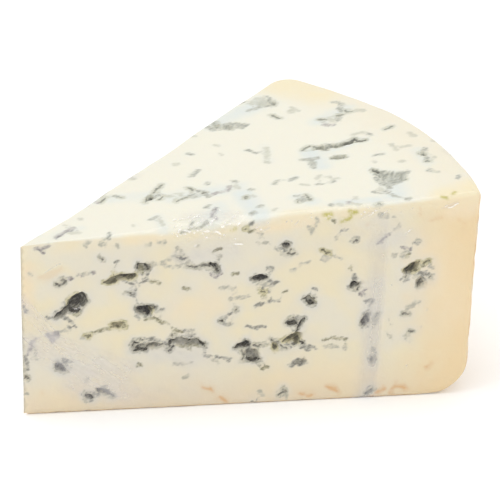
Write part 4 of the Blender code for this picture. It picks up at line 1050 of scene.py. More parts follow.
# %% The shell and its rind
class Shell:
    """The wedge's points and faces, which grow side by side."""

    def __init__(self):
        self.x, self.y = np.array(outline).T
        self.low = base_height(self.x, self.y)
        self.high = top_height(self.x, self.y, 0.0)
        low_ring = stacked(self.x, self.y, self.low)
        self.points = np.concatenate([low_ring, stacked(self.x, self.y, self.high)])
        self.faces = []
        self.columns = {}

    def add(self, points):
        """Adds points and gives the number of the first."""
        first = len(self.points)
        self.points = np.concatenate([self.points, points])
        return first

    def fill_in(self, numbers, loop, inner, place, outwards):
        """Fills one side inside its loop, with its new points put in space by place."""
        faces, flat = fill(numbers, loop, inner, len(self.points), outwards)
        self.add(place(*flat))
        self.faces += faces


def add_rind(shell):
    """Upright columns of points at the tip and along the rind, and the rind's faces."""
    share = np.arange(1, SIDE_LEVELS) / SIDE_LEVELS
    for i in [0, *range(front_end, back_start + 1)]:
        low, high = shell.low[i], shell.high[i]
        first = shell.add(stacked(shell.x[i], shell.y[i], low + (high - low) * share))
        shell.columns[i] = [i, *range(first, first + SIDE_LEVELS - 1), len(outline) + i]
    for i in range(front_end, back_start):
        this, following = shell.columns[i], shell.columns[i + 1]
        shell.faces += zip(this, following, following[1:], this[1:])


print("a new shell has", len(Shell().points), "points: the outline, low and high")

# %% The flat sides
UP_WAY = (0, 0, 1)
ACROSS = WHEEL_RADIUS * math.sin(WEDGE_ANGLE)
BASE_ROOM = 1.15 * BASE_RIM_RADIUS  # between the underside's grid and the wheel's wall


def add_cut(shell, along, way, outwards, marks, ragged):
    """One cut: its loop runs out along the base, up, back along the top and down the tip."""
    cx, cy = way
    end = along[-1]
    numbers = along + shell.columns[end][1:-1] + [len(outline) + i for i in reversed(along)]
    numbers += shell.columns[0][-2:0:-1]
    x, y, z = shell.points[numbers].T
    loop = list(zip(np.hypot(x, y).tolist(), z.tolist()))

    def place(u, v):
        return stacked(u * cx, u * cy, v)

    def room(u, v):
        far = float(np.hypot(shell.x[end], shell.y[end])) - u
        above = v - base_height(u * cx, u * cy)
        below = top_height(u * cx, u * cy, 0.0) - v
        return np.minimum(np.minimum(u, far), np.minimum(above, below))

    normal = (cy, -cx, 0) if outwards else (-cy, cx, 0)
    inner = by_need(WHEEL_RADIUS, RIM_HEIGHT, room, place, normal, marks, ragged)
    shell.fill_in(numbers, loop, inner, place, outwards)


def add_top(shell, marks, ragged):
    """The top, with rows of points along its rounded edge."""

    def place(u, v):
        return stacked(u, v, top_height(u, v, inset(u, v)))

    def room(u, v):
        return inset(u, v) - top_softness(u, v)

    inner = inward_rows(top_rows)
    inner += by_need(WHEEL_RADIUS, ACROSS, room, place, UP_WAY, marks, ragged)
    ring = [len(outline) + i for i in range(len(outline))]
    shell.fill_in(ring, outline, inner, place, True)


def add_base(shell):
    """The underside, which has no marks."""

    def place(u, v):
        return stacked(u, v, base_height(u, v))

    u, v = grid(WHEEL_RADIUS, ACROSS, BASE_STEP)
    keep = (inset(u, v) > 0.5 * BASE_STEP) & (np.hypot(u, v) < WHEEL_RADIUS - BASE_ROOM)
    inner = inward_rows(base_rows) + list(zip(u[keep].tolist(), v[keep].tolist()))
    shell.fill_in(list(range(len(outline))), outline, inner, place, False)


def skin(marks, ragged):
    """Points, faces and outward directions of the smooth wedge, fine beside these marks."""
    shell = Shell()
    add_rind(shell)
    count = len(outline)
    ahead, behind = list(range(front_end + 1)), [0, *range(count - 1, back_start - 1, -1)]
    back_way = (math.cos(WEDGE_ANGLE), math.sin(WEDGE_ANGLE))
    add_cut(shell, ahead, (1.0, 0.0), True, marks, ragged)
    add_cut(shell, behind, back_way, False, marks, ragged)
    add_top(shell, marks, ragged)
    add_base(shell)
    points = leaned_and_waved(shell.points)
    mesh = bpy.data.meshes.new("skin")
    mesh.from_pydata(points, [], shell.faces)
    normals = np.empty(3 * len(points))
    mesh.vertex_normals.foreach_get("vector", normals)
    bpy.data.meshes.remove(mesh)
    return points, shell.faces, normals.reshape(-1, 3)


def triangle_count(faces):
    """How many triangles these faces make."""
    return sum(len(f) - 2 for f in faces)


print("the top's grid is", round(ACROSS, 1), "mm across")

# %% [markdown]
# The marks are the strokes and pockets, as paths with half-widths. A stroke on the front that
# lies above the edge is a mark of the top without any extra work, because its path is in space.

# %% Build the cheese's skin
def stroke_path(plane, row):
    """A stroke's path in space, and its half-widths there."""
    path, widths = path_near(plane, threes(row))
    return path, widths[:, 0]


def constant(path, half):
    """A path with the same half-width at each of its points."""
    return path, np.full(len(path), half)


def pocket_axis(plane, along, up, length, height, tilt):
    """A pocket's long axis as a path, without its round ends."""
    reach = max(0.1, (length - height) / 2)
    run, rise = reach * math.cos(math.radians(tilt)), reach * math.sin(math.radians(tilt))
    return path_near(plane, ((along - run, up - rise), (along + run, up + rise)))[0]


def vein_marks():
    """Every stroke and pocket as a path and its half-widths."""
    marks = []
    groups = [(on_front, FRONT_STROKES), (on_top, TOP_STROKES), (on_back, BACK_STROKES)]
    stains = {"amber": AMBER_STROKES + WEAK_AMBER_AND_SHADE_STROKES, "moss": MOSS_STROKES}
    groups += [(on_front, stains)]
    for plane, strokes in groups:
        for rows in strokes.values():
            marks += [stroke_path(plane, row) for row in rows]
    for plane, rows in ((on_front, FRONT_POCKETS), (on_top, TOP_POCKETS), (on_back, BACK_POCKETS)):
        marks += [constant(pocket_axis(plane, *row[:5]), row[3] / 2) for row in rows]
    return marks


skin_points, skin_faces, skin_normals = skin(vein_marks(), True)
search = BVHTree.FromPolygons(skin_points.tolist(), skin_faces)
to_frame = np.array(cad_low) / MM - skin_points.min(axis=0)
size_gap = (np.array(cad_high - cad_low) / MM) - np.ptp(skin_points, axis=0)
print("skin:", triangle_count(skin_faces), "triangles;", end=" ")
print("solid's box less the skin's, in mm:", np.round(size_gap, 3))

# %% [markdown]
# A path drawn on a flat plane is a fraction of a millimetre off the wavy skin, so each of its
# points is moved to the nearest place on it. The whole skin is moved so that its lowest corner is
# the solid's: that is the only fitting in the script.
#
# ### Values on the mesh
#
# A material can't hold five hundred strokes, but it can read a value that is stored on each
# point of the mesh. `core` says in millimetres how far inside a dark vein a point is, so its zero
# line is the vein's edge, sharp even between two points. `body` says the same for the grey mould
# that lies round the dark veins or alone. Two more values hold how dark each of them is, and
# `hue` runs from olive at -1 to mauve at 1. `mist` is the bluish bloom in the paste round them,
# `warm` the warmer, cleaner paste, and `amber` and `moss` are the stains; `amber` also holds one
# painted shade, a pinkish shadow under a fold of film.

# %% Painting helpers
OUTSIDE = -3.0  # what core and body say far from any vein
CORE_HALO = 0.38  # grey mould reaches this far out of a dark vein
HALO_DARKNESS = 0.4  # beside the vein's own
MIST_REACH = 3.0
PATCH_SPREAD = 1.4  # a soft patch fades out this much wider than it was drawn
ON_TOP = 0.62  # the top's veins are paler by this
FAINT_AMBER = 0.3
STAIN_REACH, STAIN_FADE = 1.5, 0.9
MIST_LEAST, MIST_PER_DARKNESS = 0.15, 0.6
PAINTED = ("core_dark", "body_dark", "hue", "mist", "warm", "amber", "moss")
paint = {name: np.zeros(len(skin_points)) for name in PAINTED}
paint["core"] = np.full(len(skin_points), OUTSIDE)
paint["body"] = np.full(len(skin_points), OUTSIDE)
ragged_points = pushed(skin_points, skin_normals)


def snapped(points):
    """These points moved to the nearest place on the skin."""
    return np.array([search.find_nearest(Vector(p))[0][:] for p in points])


def stroke_field(plane, row, reach):
    """Points near one stroke, and how far inside its edge each lies."""
    path, halves = stroke_path(plane, row)
    path = snapped(path)
    numbers = near(ragged_points, path, halves.max() + reach)
    return numbers, inside_stroke(ragged_points[numbers], path, halves)


def keep_higher(values, numbers, new):
    """Raises the values at these numbers where new ones are higher, and says where that was."""
    wins = new > values[numbers]
    values[numbers[wins]] = new[wins]
    return numbers[wins]


def paint_veins(plane, strokes, strength=1.0):
    """Adds strokes to the dark veins or the grey mould, and their bloom."""
    for tone, rows in strokes.items():
        is_core, dark, hue = TONES[tone]
        dark *= strength
        for row in rows:
            numbers, inside = stroke_field(plane, row, MIST_REACH)
            if is_core:
                paint["core_dark"][keep_higher(paint["core"], numbers, inside)] = dark
            raised = keep_higher(paint["body"], numbers, inside + CORE_HALO * is_core)
            paint["body_dark"][raised] = HALO_DARKNESS * dark if is_core else dark
            paint["hue"][raised] = hue
            mist = MIST_LEAST + MIST_PER_DARKNESS * dark
            keep_higher(paint["mist"], numbers, mist * smooth(1 + inside / MIST_REACH))


def paint_stain(name, rows, strength=1.0):
    """Adds strokes of a stain: 1 inside them and fading across their edges."""
    for row in rows:
        numbers, inside = stroke_field(on_front, row, STAIN_REACH)
        keep_higher(paint[name], numbers, strength * smooth(0.5 + inside / STAIN_FADE))


def paint_patches(name, table):
    """Adds wide soft patches to a value."""
    for plane, half, strength, drawn in drawn_rows(table):
        path = snapped(path_near(plane, drawn)[0])
        half *= PATCH_SPREAD
        numbers = near(ragged_points, path, half)
        distance, _, _ = distance_to_path(ragged_points[numbers], path)
        keep_higher(paint[name], numbers, strength * smooth(1.0 - distance / half))


print("values to paint:", ", ".join(paint))

# %% Paint the veins, stains and patches
paint_veins(on_front, FRONT_STROKES)
paint_veins(on_top, TOP_STROKES, ON_TOP)
paint_veins(on_back, BACK_STROKES)
paint_stain("amber", AMBER_STROKES)
# the faint amber strokes are brown specks, and one of them is painted shade under a fold of film
paint_stain("amber", WEAK_AMBER_AND_SHADE_STROKES, FAINT_AMBER)
paint_stain("moss", MOSS_STROKES)
paint_patches("mist", PATCHES)
paint_patches("warm", WARM_PATCHES)
print("points inside a dark vein:", int((paint["core"] > 0).sum()))

# %% [markdown]
# ### How deep under the rind
#
# Cheese is darkest and warmest near its rind, so one more value holds each point's distance from
# the wheel's wall or from its underside. A point of the wall itself, or of the underside, is rind.
# The top and the cuts differ too: the top is painted paler, which stands for the stronger light
# that falls on it from above, and that paleness is painted a few millimetres down over its edge.

# %% Depth under the rind, rind and top
RIND_DEEP = 40
PAINTED_LIGHT_DOWN, PAINTED_LIGHT_REACH = 0.5, 4.5
_, _, skin_z = skin_points.T
skin_radius = np.hypot(skin_points[:, 0], skin_points[:, 1])
wall_radius = WHEEL_RADIUS - WALL_LEAN * (1 - skin_z / RIM_HEIGHT)
paint["wall_gap"] = np.clip(wall_radius - skin_radius, 0, RIND_DEEP)
paint["base_gap"] = np.clip(skin_z, 0, RIND_DEEP)
outward = (skin_points[:, :2] * skin_normals[:, :2]).sum(axis=1) / np.maximum(skin_radius, 1)
# a normal that points out or down by more than about half is on the wall or underneath
faces_wall = smooth((outward - 0.55) / 0.25) * smooth((skin_radius - 80) / 6)
faces_down = smooth((-skin_normals[:, 2] - 0.45) / 0.35)
paint["rind"] = np.maximum(faces_wall, faces_down)
below_edge = TIP_HEIGHT + TOP_SLOPE * skin_radius - skin_z
# painted light: top is 1 where the surface faces up, and it fades over the edge onto the cuts
paint["top"] = smooth((skin_normals[:, 2] - 0.1) / 0.7)
paint["top"] = np.maximum(paint["top"], PAINTED_LIGHT_DOWN * smooth(1 - below_edge / PAINTED_LIGHT_REACH))
print("share of the skin that is rind:", round(float((paint["rind"] > 0.5).mean()), 3))

# %% [markdown]
# ## The cheese's own mesh
#
# The cheese is the skin, set back by the little room that the film needs, with the pockets pushed
# in along the normals. Cutting them with Booleans would also work, but moving points keeps the
# mesh closed and regular and lets a pocket's floor be rough. Shallow veins sink slightly, and the
# rind gets its low ridges and pits.

# %% Carve the pockets
FILM_ROOM = 0.15
VEIN_DEPTH = 0.2
POCKET_EDGE = 1.06  # where a pocket begins, as a share of the way from its middle to its rim
POCKET_STEEPNESS = 1.9
FURRED_DEPTH = 1.5  # a pocket as deep as this is furred all over
POCKET_REACH = 0.8
carved = np.zeros(len(skin_points))
pocket = np.zeros(len(skin_points))


def carve(plane, rows):
    """Deepens the carving by a row of oval pockets."""
    for along, up, length, height, tilt, depth in rows:
        turn = math.radians(tilt)
        ends = [(along + side * math.cos(turn), up + side * math.sin(turn)) for side in (-0.5, 0.5)]
        middle, left, right = snapped([plane(along, up), plane(*ends[0]), plane(*ends[1])])
        run = (right - left) / np.linalg.norm(right - left)
        numbers = near(ragged_points, middle[None, :], length / 2 + POCKET_REACH)
        offset = ragged_points[numbers] - middle
        lengthwise = offset @ run
        across = np.linalg.norm(offset - lengthwise[:, None] * run, axis=1)
        share = np.hypot(lengthwise / (length / 2), across / (height / 2))
        inside = smooth(POCKET_STEEPNESS * (POCKET_EDGE - share))
        keep_higher(carved, numbers, depth * inside)
        keep_higher(pocket, numbers, inside * min(1.0, depth / FURRED_DEPTH))


carve(on_front, FRONT_POCKETS)
carve(on_top, TOP_POCKETS)
carve(on_back, BACK_POCKETS)
vein_depth = VEIN_DEPTH * paint["core_dark"] * smooth((paint["core"] + 0.2) / 0.5)
print("deepest pocket:", round(float(carved.max()), 2), "mm")

# %% [markdown]
# The rest of the relief is slow waves on the cuts, and on the rind pits and the low level ridges
# that the wheel's mould left.

# %% Surface relief
CUT_RELIEF, CUT_RELIEF_LENGTH = 0.1, 5.5
RIND_RELIEF, RIND_RELIEF_LENGTH = 0.4, 3.2
RIND_RIDGES, RIND_RIDGE_SPACING = 0.07, 4.2


def drift_height(length, seed):
    """A smooth random height between about -0.5 and 0.5 for each point of the skin."""
    return np.array([noise.noise(Vector(p)) for p in skin_points / length + seed])


rind_pits = np.maximum(0.0, drift_height(RIND_RELIEF_LENGTH, 3.1) - 0.12)
ridge_phase = skin_z / RIND_RIDGE_SPACING + 0.5 * drift_height(20, 8.4)
ridges = 0.5 - 0.5 * np.cos(2 * math.pi * ridge_phase)
on_wall = paint["rind"] * smooth((skin_z - 6) / 6)
cut_waves = 0.5 + drift_height(CUT_RELIEF_LENGTH, 6.6)
relief = (
    carved
    + vein_depth
    + CUT_RELIEF * cut_waves * (1 - paint["rind"])
    + RIND_RELIEF * rind_pits * paint["rind"]
    + RIND_RIDGES * ridges * on_wall
)
cheese_points = skin_points - skin_normals * (FILM_ROOM + relief)[:, None]
print("relief in mm:", [round(float(end), 2) for end in (relief.min(), relief.max())])

# %% [markdown]
# A mesh is made from the points with one helper, because the film needs the same. It moves them
# into the frame, turns them to metres and stores the values that materials and node trees read.

# %% Make a mesh with its values
def meshed(name, points, faces, values):
    """A smooth-shaded object in the frame, made from these points and faces."""
    mesh = bpy.data.meshes.new(name)
    mesh.from_pydata((points + to_frame) * MM, [], faces)
    mesh.shade_smooth()
    for key, numbers in values.items():
        layer = mesh.attributes.new(key, "FLOAT", "POINT")
        layer.data.foreach_set("value", numbers.astype(np.float32))
    made = bpy.data.objects.new(name, mesh)
    bpy.context.scene.collection.objects.link(made)
    return made


cheese = meshed("cheese_paste", cheese_points, skin_faces, paint)
print("made", cheese.name, "with the values", ", ".join(sorted(paint)))

# %% [markdown]
# ## Node trees written as sums
#
# Materials and Geometry Nodes are both graphs of small sums. Written node by node they are long
# and hard to read, so one class adds nodes, and another wraps an output so that Python's own
# operators add the Math nodes. `1 - mask * 0.5` then builds two nodes.

# %% Values and graphs
class Value:
    """An output of a node that takes part in Python's sums."""

    def __init__(self, graph, socket):
        self.graph = graph
        self.socket = socket

    def __add__(self, other):
        return self.graph.math("ADD", self, other)

    __radd__ = __add__

    def __mul__(self, other):
        return self.graph.math("MULTIPLY", self, other)

    __rmul__ = __mul__

    def __sub__(self, other):
        return self.graph.math("SUBTRACT", self, other)

    def __rsub__(self, other):
        return self.graph.math("SUBTRACT", other, self)


def pick(sockets, key):
    """The socket with this number, identifier or name."""
    if isinstance(key, int):
        return sockets[key]
    exact = [s for s in sockets if s.identifier == key]
    return (exact or [s for s in sockets if s.name == key and s.enabled])[0]


class Graph:
    """Adds nodes to a material's or a geometry's node tree."""

    def __init__(self, tree):
        self.tree = tree
        self.tree.nodes.clear()

    def node(self, kind, settings=None, sockets=None, output=0):
        """One node: its settings are made first, then its sockets get values or links."""
        made = self.tree.nodes.new(kind)
        for name, value in (settings or {}).items():
            setattr(made, name, value)
        for key, value in (sockets or {}).items():
            socket = pick(made.inputs, key)
            if isinstance(value, Value):
                self.tree.links.new(value.socket, socket)
            else:
                socket.default_value = value
        return Value(self, pick(made.outputs, output)) if len(made.outputs) else None

    def math(self, operation, *values):
        """A Math node on numbers."""
        return self.node("ShaderNodeMath", {"operation": operation}, dict(enumerate(values)))

    def step(self, value, low, high):
        """0 below low, 1 above high and an S curve between."""
        return self.node(
            "ShaderNodeMapRange",
            {"interpolation_type": "SMOOTHSTEP"},
            {"Value": value, "From Min": low, "From Max": high},
        )

    def scaled(self, vector, factor):
        """A vector times a number."""
        sockets = {0: vector, "Scale": factor}
        return self.node("ShaderNodeVectorMath", {"operation": "SCALE"}, sockets)

    def grain(self, place, length, detail=2.0, roughness=0.5):
        """Soft noise between 0 and 1 with spots of about this length."""
        sockets = {"Vector": place, "Scale": 1 / length, "Detail": detail, "Roughness": roughness}
        return self.node("ShaderNodeTexNoise", None, sockets)


print("the two classes are ready")

# %% [markdown]
# ### Colours
#
# Colours are easiest to judge as the 0 to 255 values that a screen shows, but a shader wants
# linear light. `shown` converts one to the other. A material is a graph with a few more words:
# the object's own place in millimetres, a value stored on the mesh, and a mix of two colours.

# %% Material helpers
def shown(red, green, blue):
    """The linear colour of what a screen shows as these values from 0 to 255."""
    shares = [c / 255 for c in (red, green, blue)]
    linear = [s / 12.92 if s <= 0.04045 else ((s + 0.055) / 1.055) ** 2.4 for s in shares]
    return (*linear, 1.0)


class Finish(Graph):
    """A material's graph."""

    def __init__(self, name):
        self.material = bpy.data.materials.new(name)
        self.material.use_nodes = True
        super().__init__(self.material.node_tree)
        metres = self.node("ShaderNodeTexCoord", output="Object")
        self.place = self.scaled(metres, 1 / MM)

    def stretched(self, way, times):
        """The object's own place, shrunk along one way so that noise there is so much longer."""
        way = Vector(way).normalized()
        dot = {"operation": "DOT_PRODUCT"}
        along = self.node("ShaderNodeVectorMath", dot, {0: self.place, 1: way[:]}, "Value")
        less = self.scaled(way[:], along * (1 / times - 1))
        return self.node("ShaderNodeVectorMath", {"operation": "ADD"}, {0: self.place, 1: less})

    def stored(self, name):
        """A value that is stored on the mesh."""
        return self.node("ShaderNodeAttribute", {"attribute_name": name}, output="Fac")

    def mix(self, share, first, second, blend="MIX"):
        """Two colours mixed, or blended in another way."""
        return self.node(
            "ShaderNodeMix",
            {"data_type": "RGBA", "blend_type": blend, "clamp_factor": True},
            {"Factor_Float": share, "A_Color": first, "B_Color": second},
            "Result_Color",
        )

    def bump(self, height, distance, strength=1.0):
        """A normal from a height between 0 and 1 that stands for this many millimetres."""
        sockets = {"Strength": strength, "Distance": distance * MM, "Height": height}
        return self.node("ShaderNodeBump", None, sockets)

    def surface(self, **sockets):
        """Ends the graph with a Principled shader."""
        named = {key.replace("_", " "): value for key, value in sockets.items()}
        shader = self.node("ShaderNodeBsdfPrincipled", None, named)
        self.node("ShaderNodeOutputMaterial", None, {"Surface": shader})
        return self.material


print("paste colour in linear light:", [round(c, 3) for c in shown(235, 226, 201)[:3]])

# %% [markdown]
# ## The paste
# Creamy blue cheese is ivory, a little yellower in the middle of a clean patch, warmer towards the
# rind and the base, and greyer and bluer round the mould. Light goes a millimetre or two into it,
# so a little subsurface scattering softens the edges. Each tint comes from a stored value, with
# noise to break it up. The top's paler paste is painted light: it stands for the stronger light
# that falls on the top from above.

# %% Colours of the cheese
PASTE = shown(223, 216, 196)
PASTE_YELLOW = shown(228, 217, 186)
# painted light: the top's paler paste stands for the light from above
PASTE_TOP = shown(236, 233, 217)
PASTE_GOLD = shown(238, 226, 192)
PASTE_RIM = shown(231, 216, 180)
PASTE_CLEAN = shown(234, 216, 183)
PASTE_WARM = shown(231, 207, 164)
PASTE_PEACH = shown(223, 205, 177)
MIST = shown(208, 207, 203)
MIST_TOP = shown(217, 224, 221)
RIND_PALE = shown(232, 208, 168)
RIND_BROWN = shown(214, 182, 138)
RIND_BLOOM = shown(224, 216, 196)
AMBER = shown(212, 168, 116)
MOSS = shown(184, 177, 88)
MOULD = (shown(203, 198, 184), shown(162, 160, 151), shown(110, 108, 101), shown(54, 51, 42))
MOULD_STOPS = (0.2, 0.42, 0.7, 1.0)  # the darkness at which mould has each of these colours
OLIVE_TINT = (1.0, 0.95, 0.66, 1)
MAUVE_TINT = (1.0, 0.92, 0.98, 1)
TOP_TINT = (0.93, 0.98, 1.0, 1)
GRAINS = ((16, 2), (4.5, 3), (0.9, 2), (0.32, 2))  # length in millimetres, and detail
SMEAR = (0.8, 0.45, 0.38)  # the way the wire pulled, in space
print("mould from pale to dark in", len(MOULD), "colours")

# %% The paste and the rind
def paste_colour(g, broad, medium, top):
    """Ivory, yellower in patches, paler on top, and warmer by the base, the rind and the edge."""
    colour = g.mix(g.step(broad + 0.35 * medium, 0.56, 0.8), PASTE, PASTE_YELLOW)
    # painted light: the top is mixed towards the paler paste, for the light that falls on it
    colour = g.mix(0.95 * top, colour, PASTE_TOP)
    near_base = 1 - g.step(g.stored("base_gap") + 9 * medium, 2.0, 17.0)
    colour = g.mix(0.75 * near_base, colour, PASTE_PEACH)
    near_wall = 1 - g.step(g.stored("wall_gap") + 12 * medium - 6, 1.0, 19.0)
    colour = g.mix(0.95 * near_wall * (1 - 0.8 * top), colour, PASTE_WARM)
    return g.mix(3.0 * top * (1 - top) * (0.3 + 0.9 * medium), colour, PASTE_RIM)


def rind_colour(g, medium, fine):
    """Mottled gold with a pale bloom."""
    colour = g.mix(g.step(medium + 0.4 * fine, 0.5, 0.9), RIND_PALE, RIND_BROWN)
    bloom = g.step(g.grain(g.place, 7, 4, 0.65), 0.5, 0.66)
    return g.mix(0.75 * bloom, colour, RIND_BLOOM)


def stained(g, colour, medium, fine, finest, top):
    """The paste with its warm patches, its bluish bloom, and its amber and moss stains."""
    warm = g.step(g.stored("warm") * (0.4 + 1.0 * medium), 0.0, 1.0)
    colour = g.mix(warm, colour, g.mix(top, PASTE_CLEAN, PASTE_GOLD))
    mist = g.step(g.stored("mist") * (0.5 + 1.0 * medium), 0.05, 1.0)
    colour = g.mix(0.8 * mist, colour, g.mix(top, MIST, MIST_TOP))
    colour = g.mix(g.stored("amber") * (0.45 + 0.6 * fine), colour, AMBER)
    return g.mix(g.stored("moss") * g.step(fine + 0.5 * finest, 0.45, 0.85), colour, MOSS)


print("three helpers colour the paste")

# %% [markdown]
# The mould lies over all that. Noise is added to the stored distances, so an edge frays into
# specks, and streaks run the way the wire pulled. The stored darkness picks a colour from pale
# grey to nearly black, and the hue tints it olive or mauve.

# %% The mould
def mould_colour(g, darkness):
    """Mould from pale to nearly black."""
    colour = MOULD[0]
    for low, high, deeper in zip(MOULD_STOPS, MOULD_STOPS[1:], MOULD[1:]):
        colour = g.mix((darkness - low) * (1 / (high - low)), colour, deeper)
    return colour


def mould_layer(g, fine, finest, top):
    """The mould's colour, how far it covers the paste, and how far it is a dark vein."""
    streak = g.step(g.grain(g.stretched(SMEAR, 3.2), 0.62, 3, 0.62), 0.36, 0.66) - 0.5
    body = (g.stored("body") + 0.26 * streak + 0.28 * (fine - 0.5)) * (1 - 0.4 * top)
    body_cover = g.step(body, -0.42, 0.16) * (0.86 + 0.28 * streak)
    body_cover = body_cover * (0.5 + 0.5 * g.step(g.stored("body_dark"), 0.1, 0.24))
    core = g.stored("core") + 0.14 * streak + 0.22 * (finest - 0.5)
    core_cover = g.step(core, -0.14, 0.12)
    body_darkness = g.stored("body_dark") * (1.05 + 0.55 * streak)
    core_darkness = g.stored("core_dark") * (0.87 + 0.2 * g.step(core, 0.0, 0.5) + 0.4 * streak)
    colour = g.mix(core_cover, mould_colour(g, body_darkness), mould_colour(g, core_darkness))
    hue = g.stored("hue")
    colour = g.mix(g.step(0 - hue, 0.0, 1.0), colour, OLIVE_TINT, "MULTIPLY")
    colour = g.mix(g.step(hue, 0.0, 1.0), colour, MAUVE_TINT, "MULTIPLY")
    colour = g.mix(top, colour, TOP_TINT, "MULTIPLY")
    return colour, g.math("MAXIMUM", body_cover, core_cover), core_cover


print("the mould's darkest colour:", [round(c, 3) for c in MOULD[-1][:3]])

# %% The cheese's finish
def cheese_finish():
    """The paste with its rind, stains and mould."""
    g = Finish("blue_cheese_paste")
    broad, medium, fine, finest = (g.grain(g.place, *sizes) for sizes in GRAINS)
    top = g.stored("top")
    rind = g.step(g.stored("rind") + 0.3 * (fine - 0.5), 0.3, 0.62)
    colour = g.mix(rind, paste_colour(g, broad, medium, top), rind_colour(g, medium, fine))
    colour = stained(g, colour, medium, fine, finest, top)
    mould, cover, in_vein = mould_layer(g, fine, finest, top)
    colour = g.mix(cover, colour, mould)
    rough = 0.5 + 0.3 * cover + 0.2 * rind
    height = 0.5 * fine + 0.3 * finest + 0.6 * g.grain(g.place, 2.2, 3) - 0.5 * in_vein
    return g.surface(
        Base_Color=colour,
        Roughness=rough,
        Normal=g.bump(height, 0.14),
        Subsurface_Weight=0.08,
        Subsurface_Radius=(1.0, 0.75, 0.45),
        Subsurface_Scale=0.0012,
        IOR=1.42,
        Specular_IOR_Level=0.1,
    )


cheese.data.materials.append(cheese_finish())
print("nodes in the paste's material:", len(cheese.data.materials[0].node_tree.nodes))

# %% [markdown]
# ## Tufts of mould
#
# Inside the pockets the mould is a fur of tiny spore heads. They repeat by the thousand and follow
# a surface, which is what Geometry Nodes are for: points are spread over the mesh where a stored
# value is high, and each gets a rough ball of twenty faces. The tree's inputs are named, so its
# numbers can be changed in the modifier, and its seed is fixed.

# %% Helpers for geometry trees
def geometry_tree(name, inputs):
    """A geometry tree with these named inputs, and its group input as a dict of values."""
    tree = bpy.data.node_groups.new(name, "GeometryNodeTree")
    graph = Graph(tree)
    for label, (kind, _) in inputs.items():
        tree.interface.new_socket(label, in_out="INPUT", socket_type=kind)
    tree.interface.new_socket("Geometry", in_out="OUTPUT", socket_type="NodeSocketGeometry")
    entry = tree.nodes.new("NodeGroupInput")
    return graph, {label: Value(graph, pick(entry.outputs, label)) for label in inputs}


def finish_tree(graph, geometry, material):
    """Realizes the geometry, sets its material and ends the tree."""
    real = graph.node("GeometryNodeRealizeInstances", None, {"Geometry": geometry})
    finish = {"Geometry": real, "Material": material}
    graph.node("NodeGroupOutput", None, {0: graph.node("GeometryNodeSetMaterial", None, finish)})
    return graph.tree


def apply_tree(piece, tree, inputs):
    """Runs the tree on the piece and keeps the result as a plain mesh."""
    modifier = piece.modifiers.new(tree.name, "NODES")
    modifier.node_group = tree
    for item in tree.interface.items_tree:
        if item.in_out == "INPUT" and inputs[item.name][1] is not None:
            modifier[item.identifier] = inputs[item.name][1]
    evaluated = piece.evaluated_get(bpy.context.evaluated_depsgraph_get())
    mesh = bpy.data.meshes.new_from_object(evaluated)
    piece.modifiers.remove(modifier)
    piece.data = mesh
    return piece


def named_value(graph, name):
    """A value stored on the mesh, read inside a geometry tree."""
    return graph.node("GeometryNodeInputNamedAttribute", {"data_type": "FLOAT"}, {"Name": name})


print("helpers for geometry trees are ready")

# %% [markdown]
# The spores are dusty, so they are rough, and dark grey-green with paler places. They grow only
# in the deep, dark parts of the pockets.

# %% Tuft material
TUFT_DARK = shown(52, 51, 42)
TUFT_GREY = shown(112, 112, 100)


def tuft_finish():
    """Dusty grey-green spores."""
    g = Finish("mould_tufts")
    patchy = g.step(g.grain(g.place, 1.6, 3), 0.4, 0.68)
    powder = g.grain(g.place, 0.08, 2)
    colour = g.mix(patchy, TUFT_DARK, TUFT_GREY)
    return g.surface(Base_Color=colour, Roughness=0.9, Normal=g.bump(powder, 0.04))


tuft_material = tuft_finish()
print("made", tuft_material.name)

# %% Spread the tufts
TUFT_INPUTS = {
    "Geometry": ("NodeSocketGeometry", None),
    "Density": ("NodeSocketFloat", 9e6),
    "Smallest": ("NodeSocketFloat", 0.05 * MM),
    "Largest": ("NodeSocketFloat", 0.12 * MM),
    "Seed": ("NodeSocketInt", 5),
}


def tuft_tree():
    """Balls of spores where the stored value tuft is high."""
    graph, entry = geometry_tree("spread_tufts", TUFT_INPUTS)
    points = graph.node(
        "GeometryNodeDistributePointsOnFaces",
        {"distribute_method": "RANDOM"},
        {
            "Mesh": entry["Geometry"],
            "Density": entry["Density"] * named_value(graph, "tuft"),
            "Seed": entry["Seed"],
        },
    )
    ball = graph.node("GeometryNodeMeshIcoSphere", None, {"Radius": 1.0, "Subdivisions": 1})
    size = graph.node(
        "FunctionNodeRandomValue",
        {"data_type": "FLOAT"},
        {"Min_001": entry["Smallest"], "Max_001": entry["Largest"], "Seed": entry["Seed"]},
        "Value_001",
    )
    balls = graph.node(
        "GeometryNodeInstanceOnPoints", None, {"Points": points, "Instance": ball, "Scale": size}
    )
    return finish_tree(graph, balls, tuft_material)


deep_in_core = smooth((paint["core"] - 0.1) / 0.4)
in_darkest = smooth((paint["core_dark"] - 0.8) / 0.2)
tuft_value = deep_in_core * in_darkest * pocket
tufts = meshed("mould_tufts", cheese_points, skin_faces, {"tuft": tuft_value})
apply_tree(tufts, tuft_tree(), TUFT_INPUTS)
print("tufts:", len(tufts.data.polygons), "triangles")

# %% [markdown]
# ## The film
#
# Clear film is stretched over the whole wedge. It touches nearly everywhere, spans the pockets,
# and shows by three things: sharp little creases that catch the light, crumples where it bunches
# on the pressed edge, and milky bands where two or more layers lie on each other. Much of the
# light caught on creases and crumples is painted: white glints drawn on the film as strokes. A
# cloth simulation would give folds at random places, so the creases are drawn as strokes, like
# the veins, and a node tree lifts the film off the skin. Only the finest marks are drawn at random:
# painted glints along the pressed edge, and creases under the base. A row is half-width, strength
# and places again.

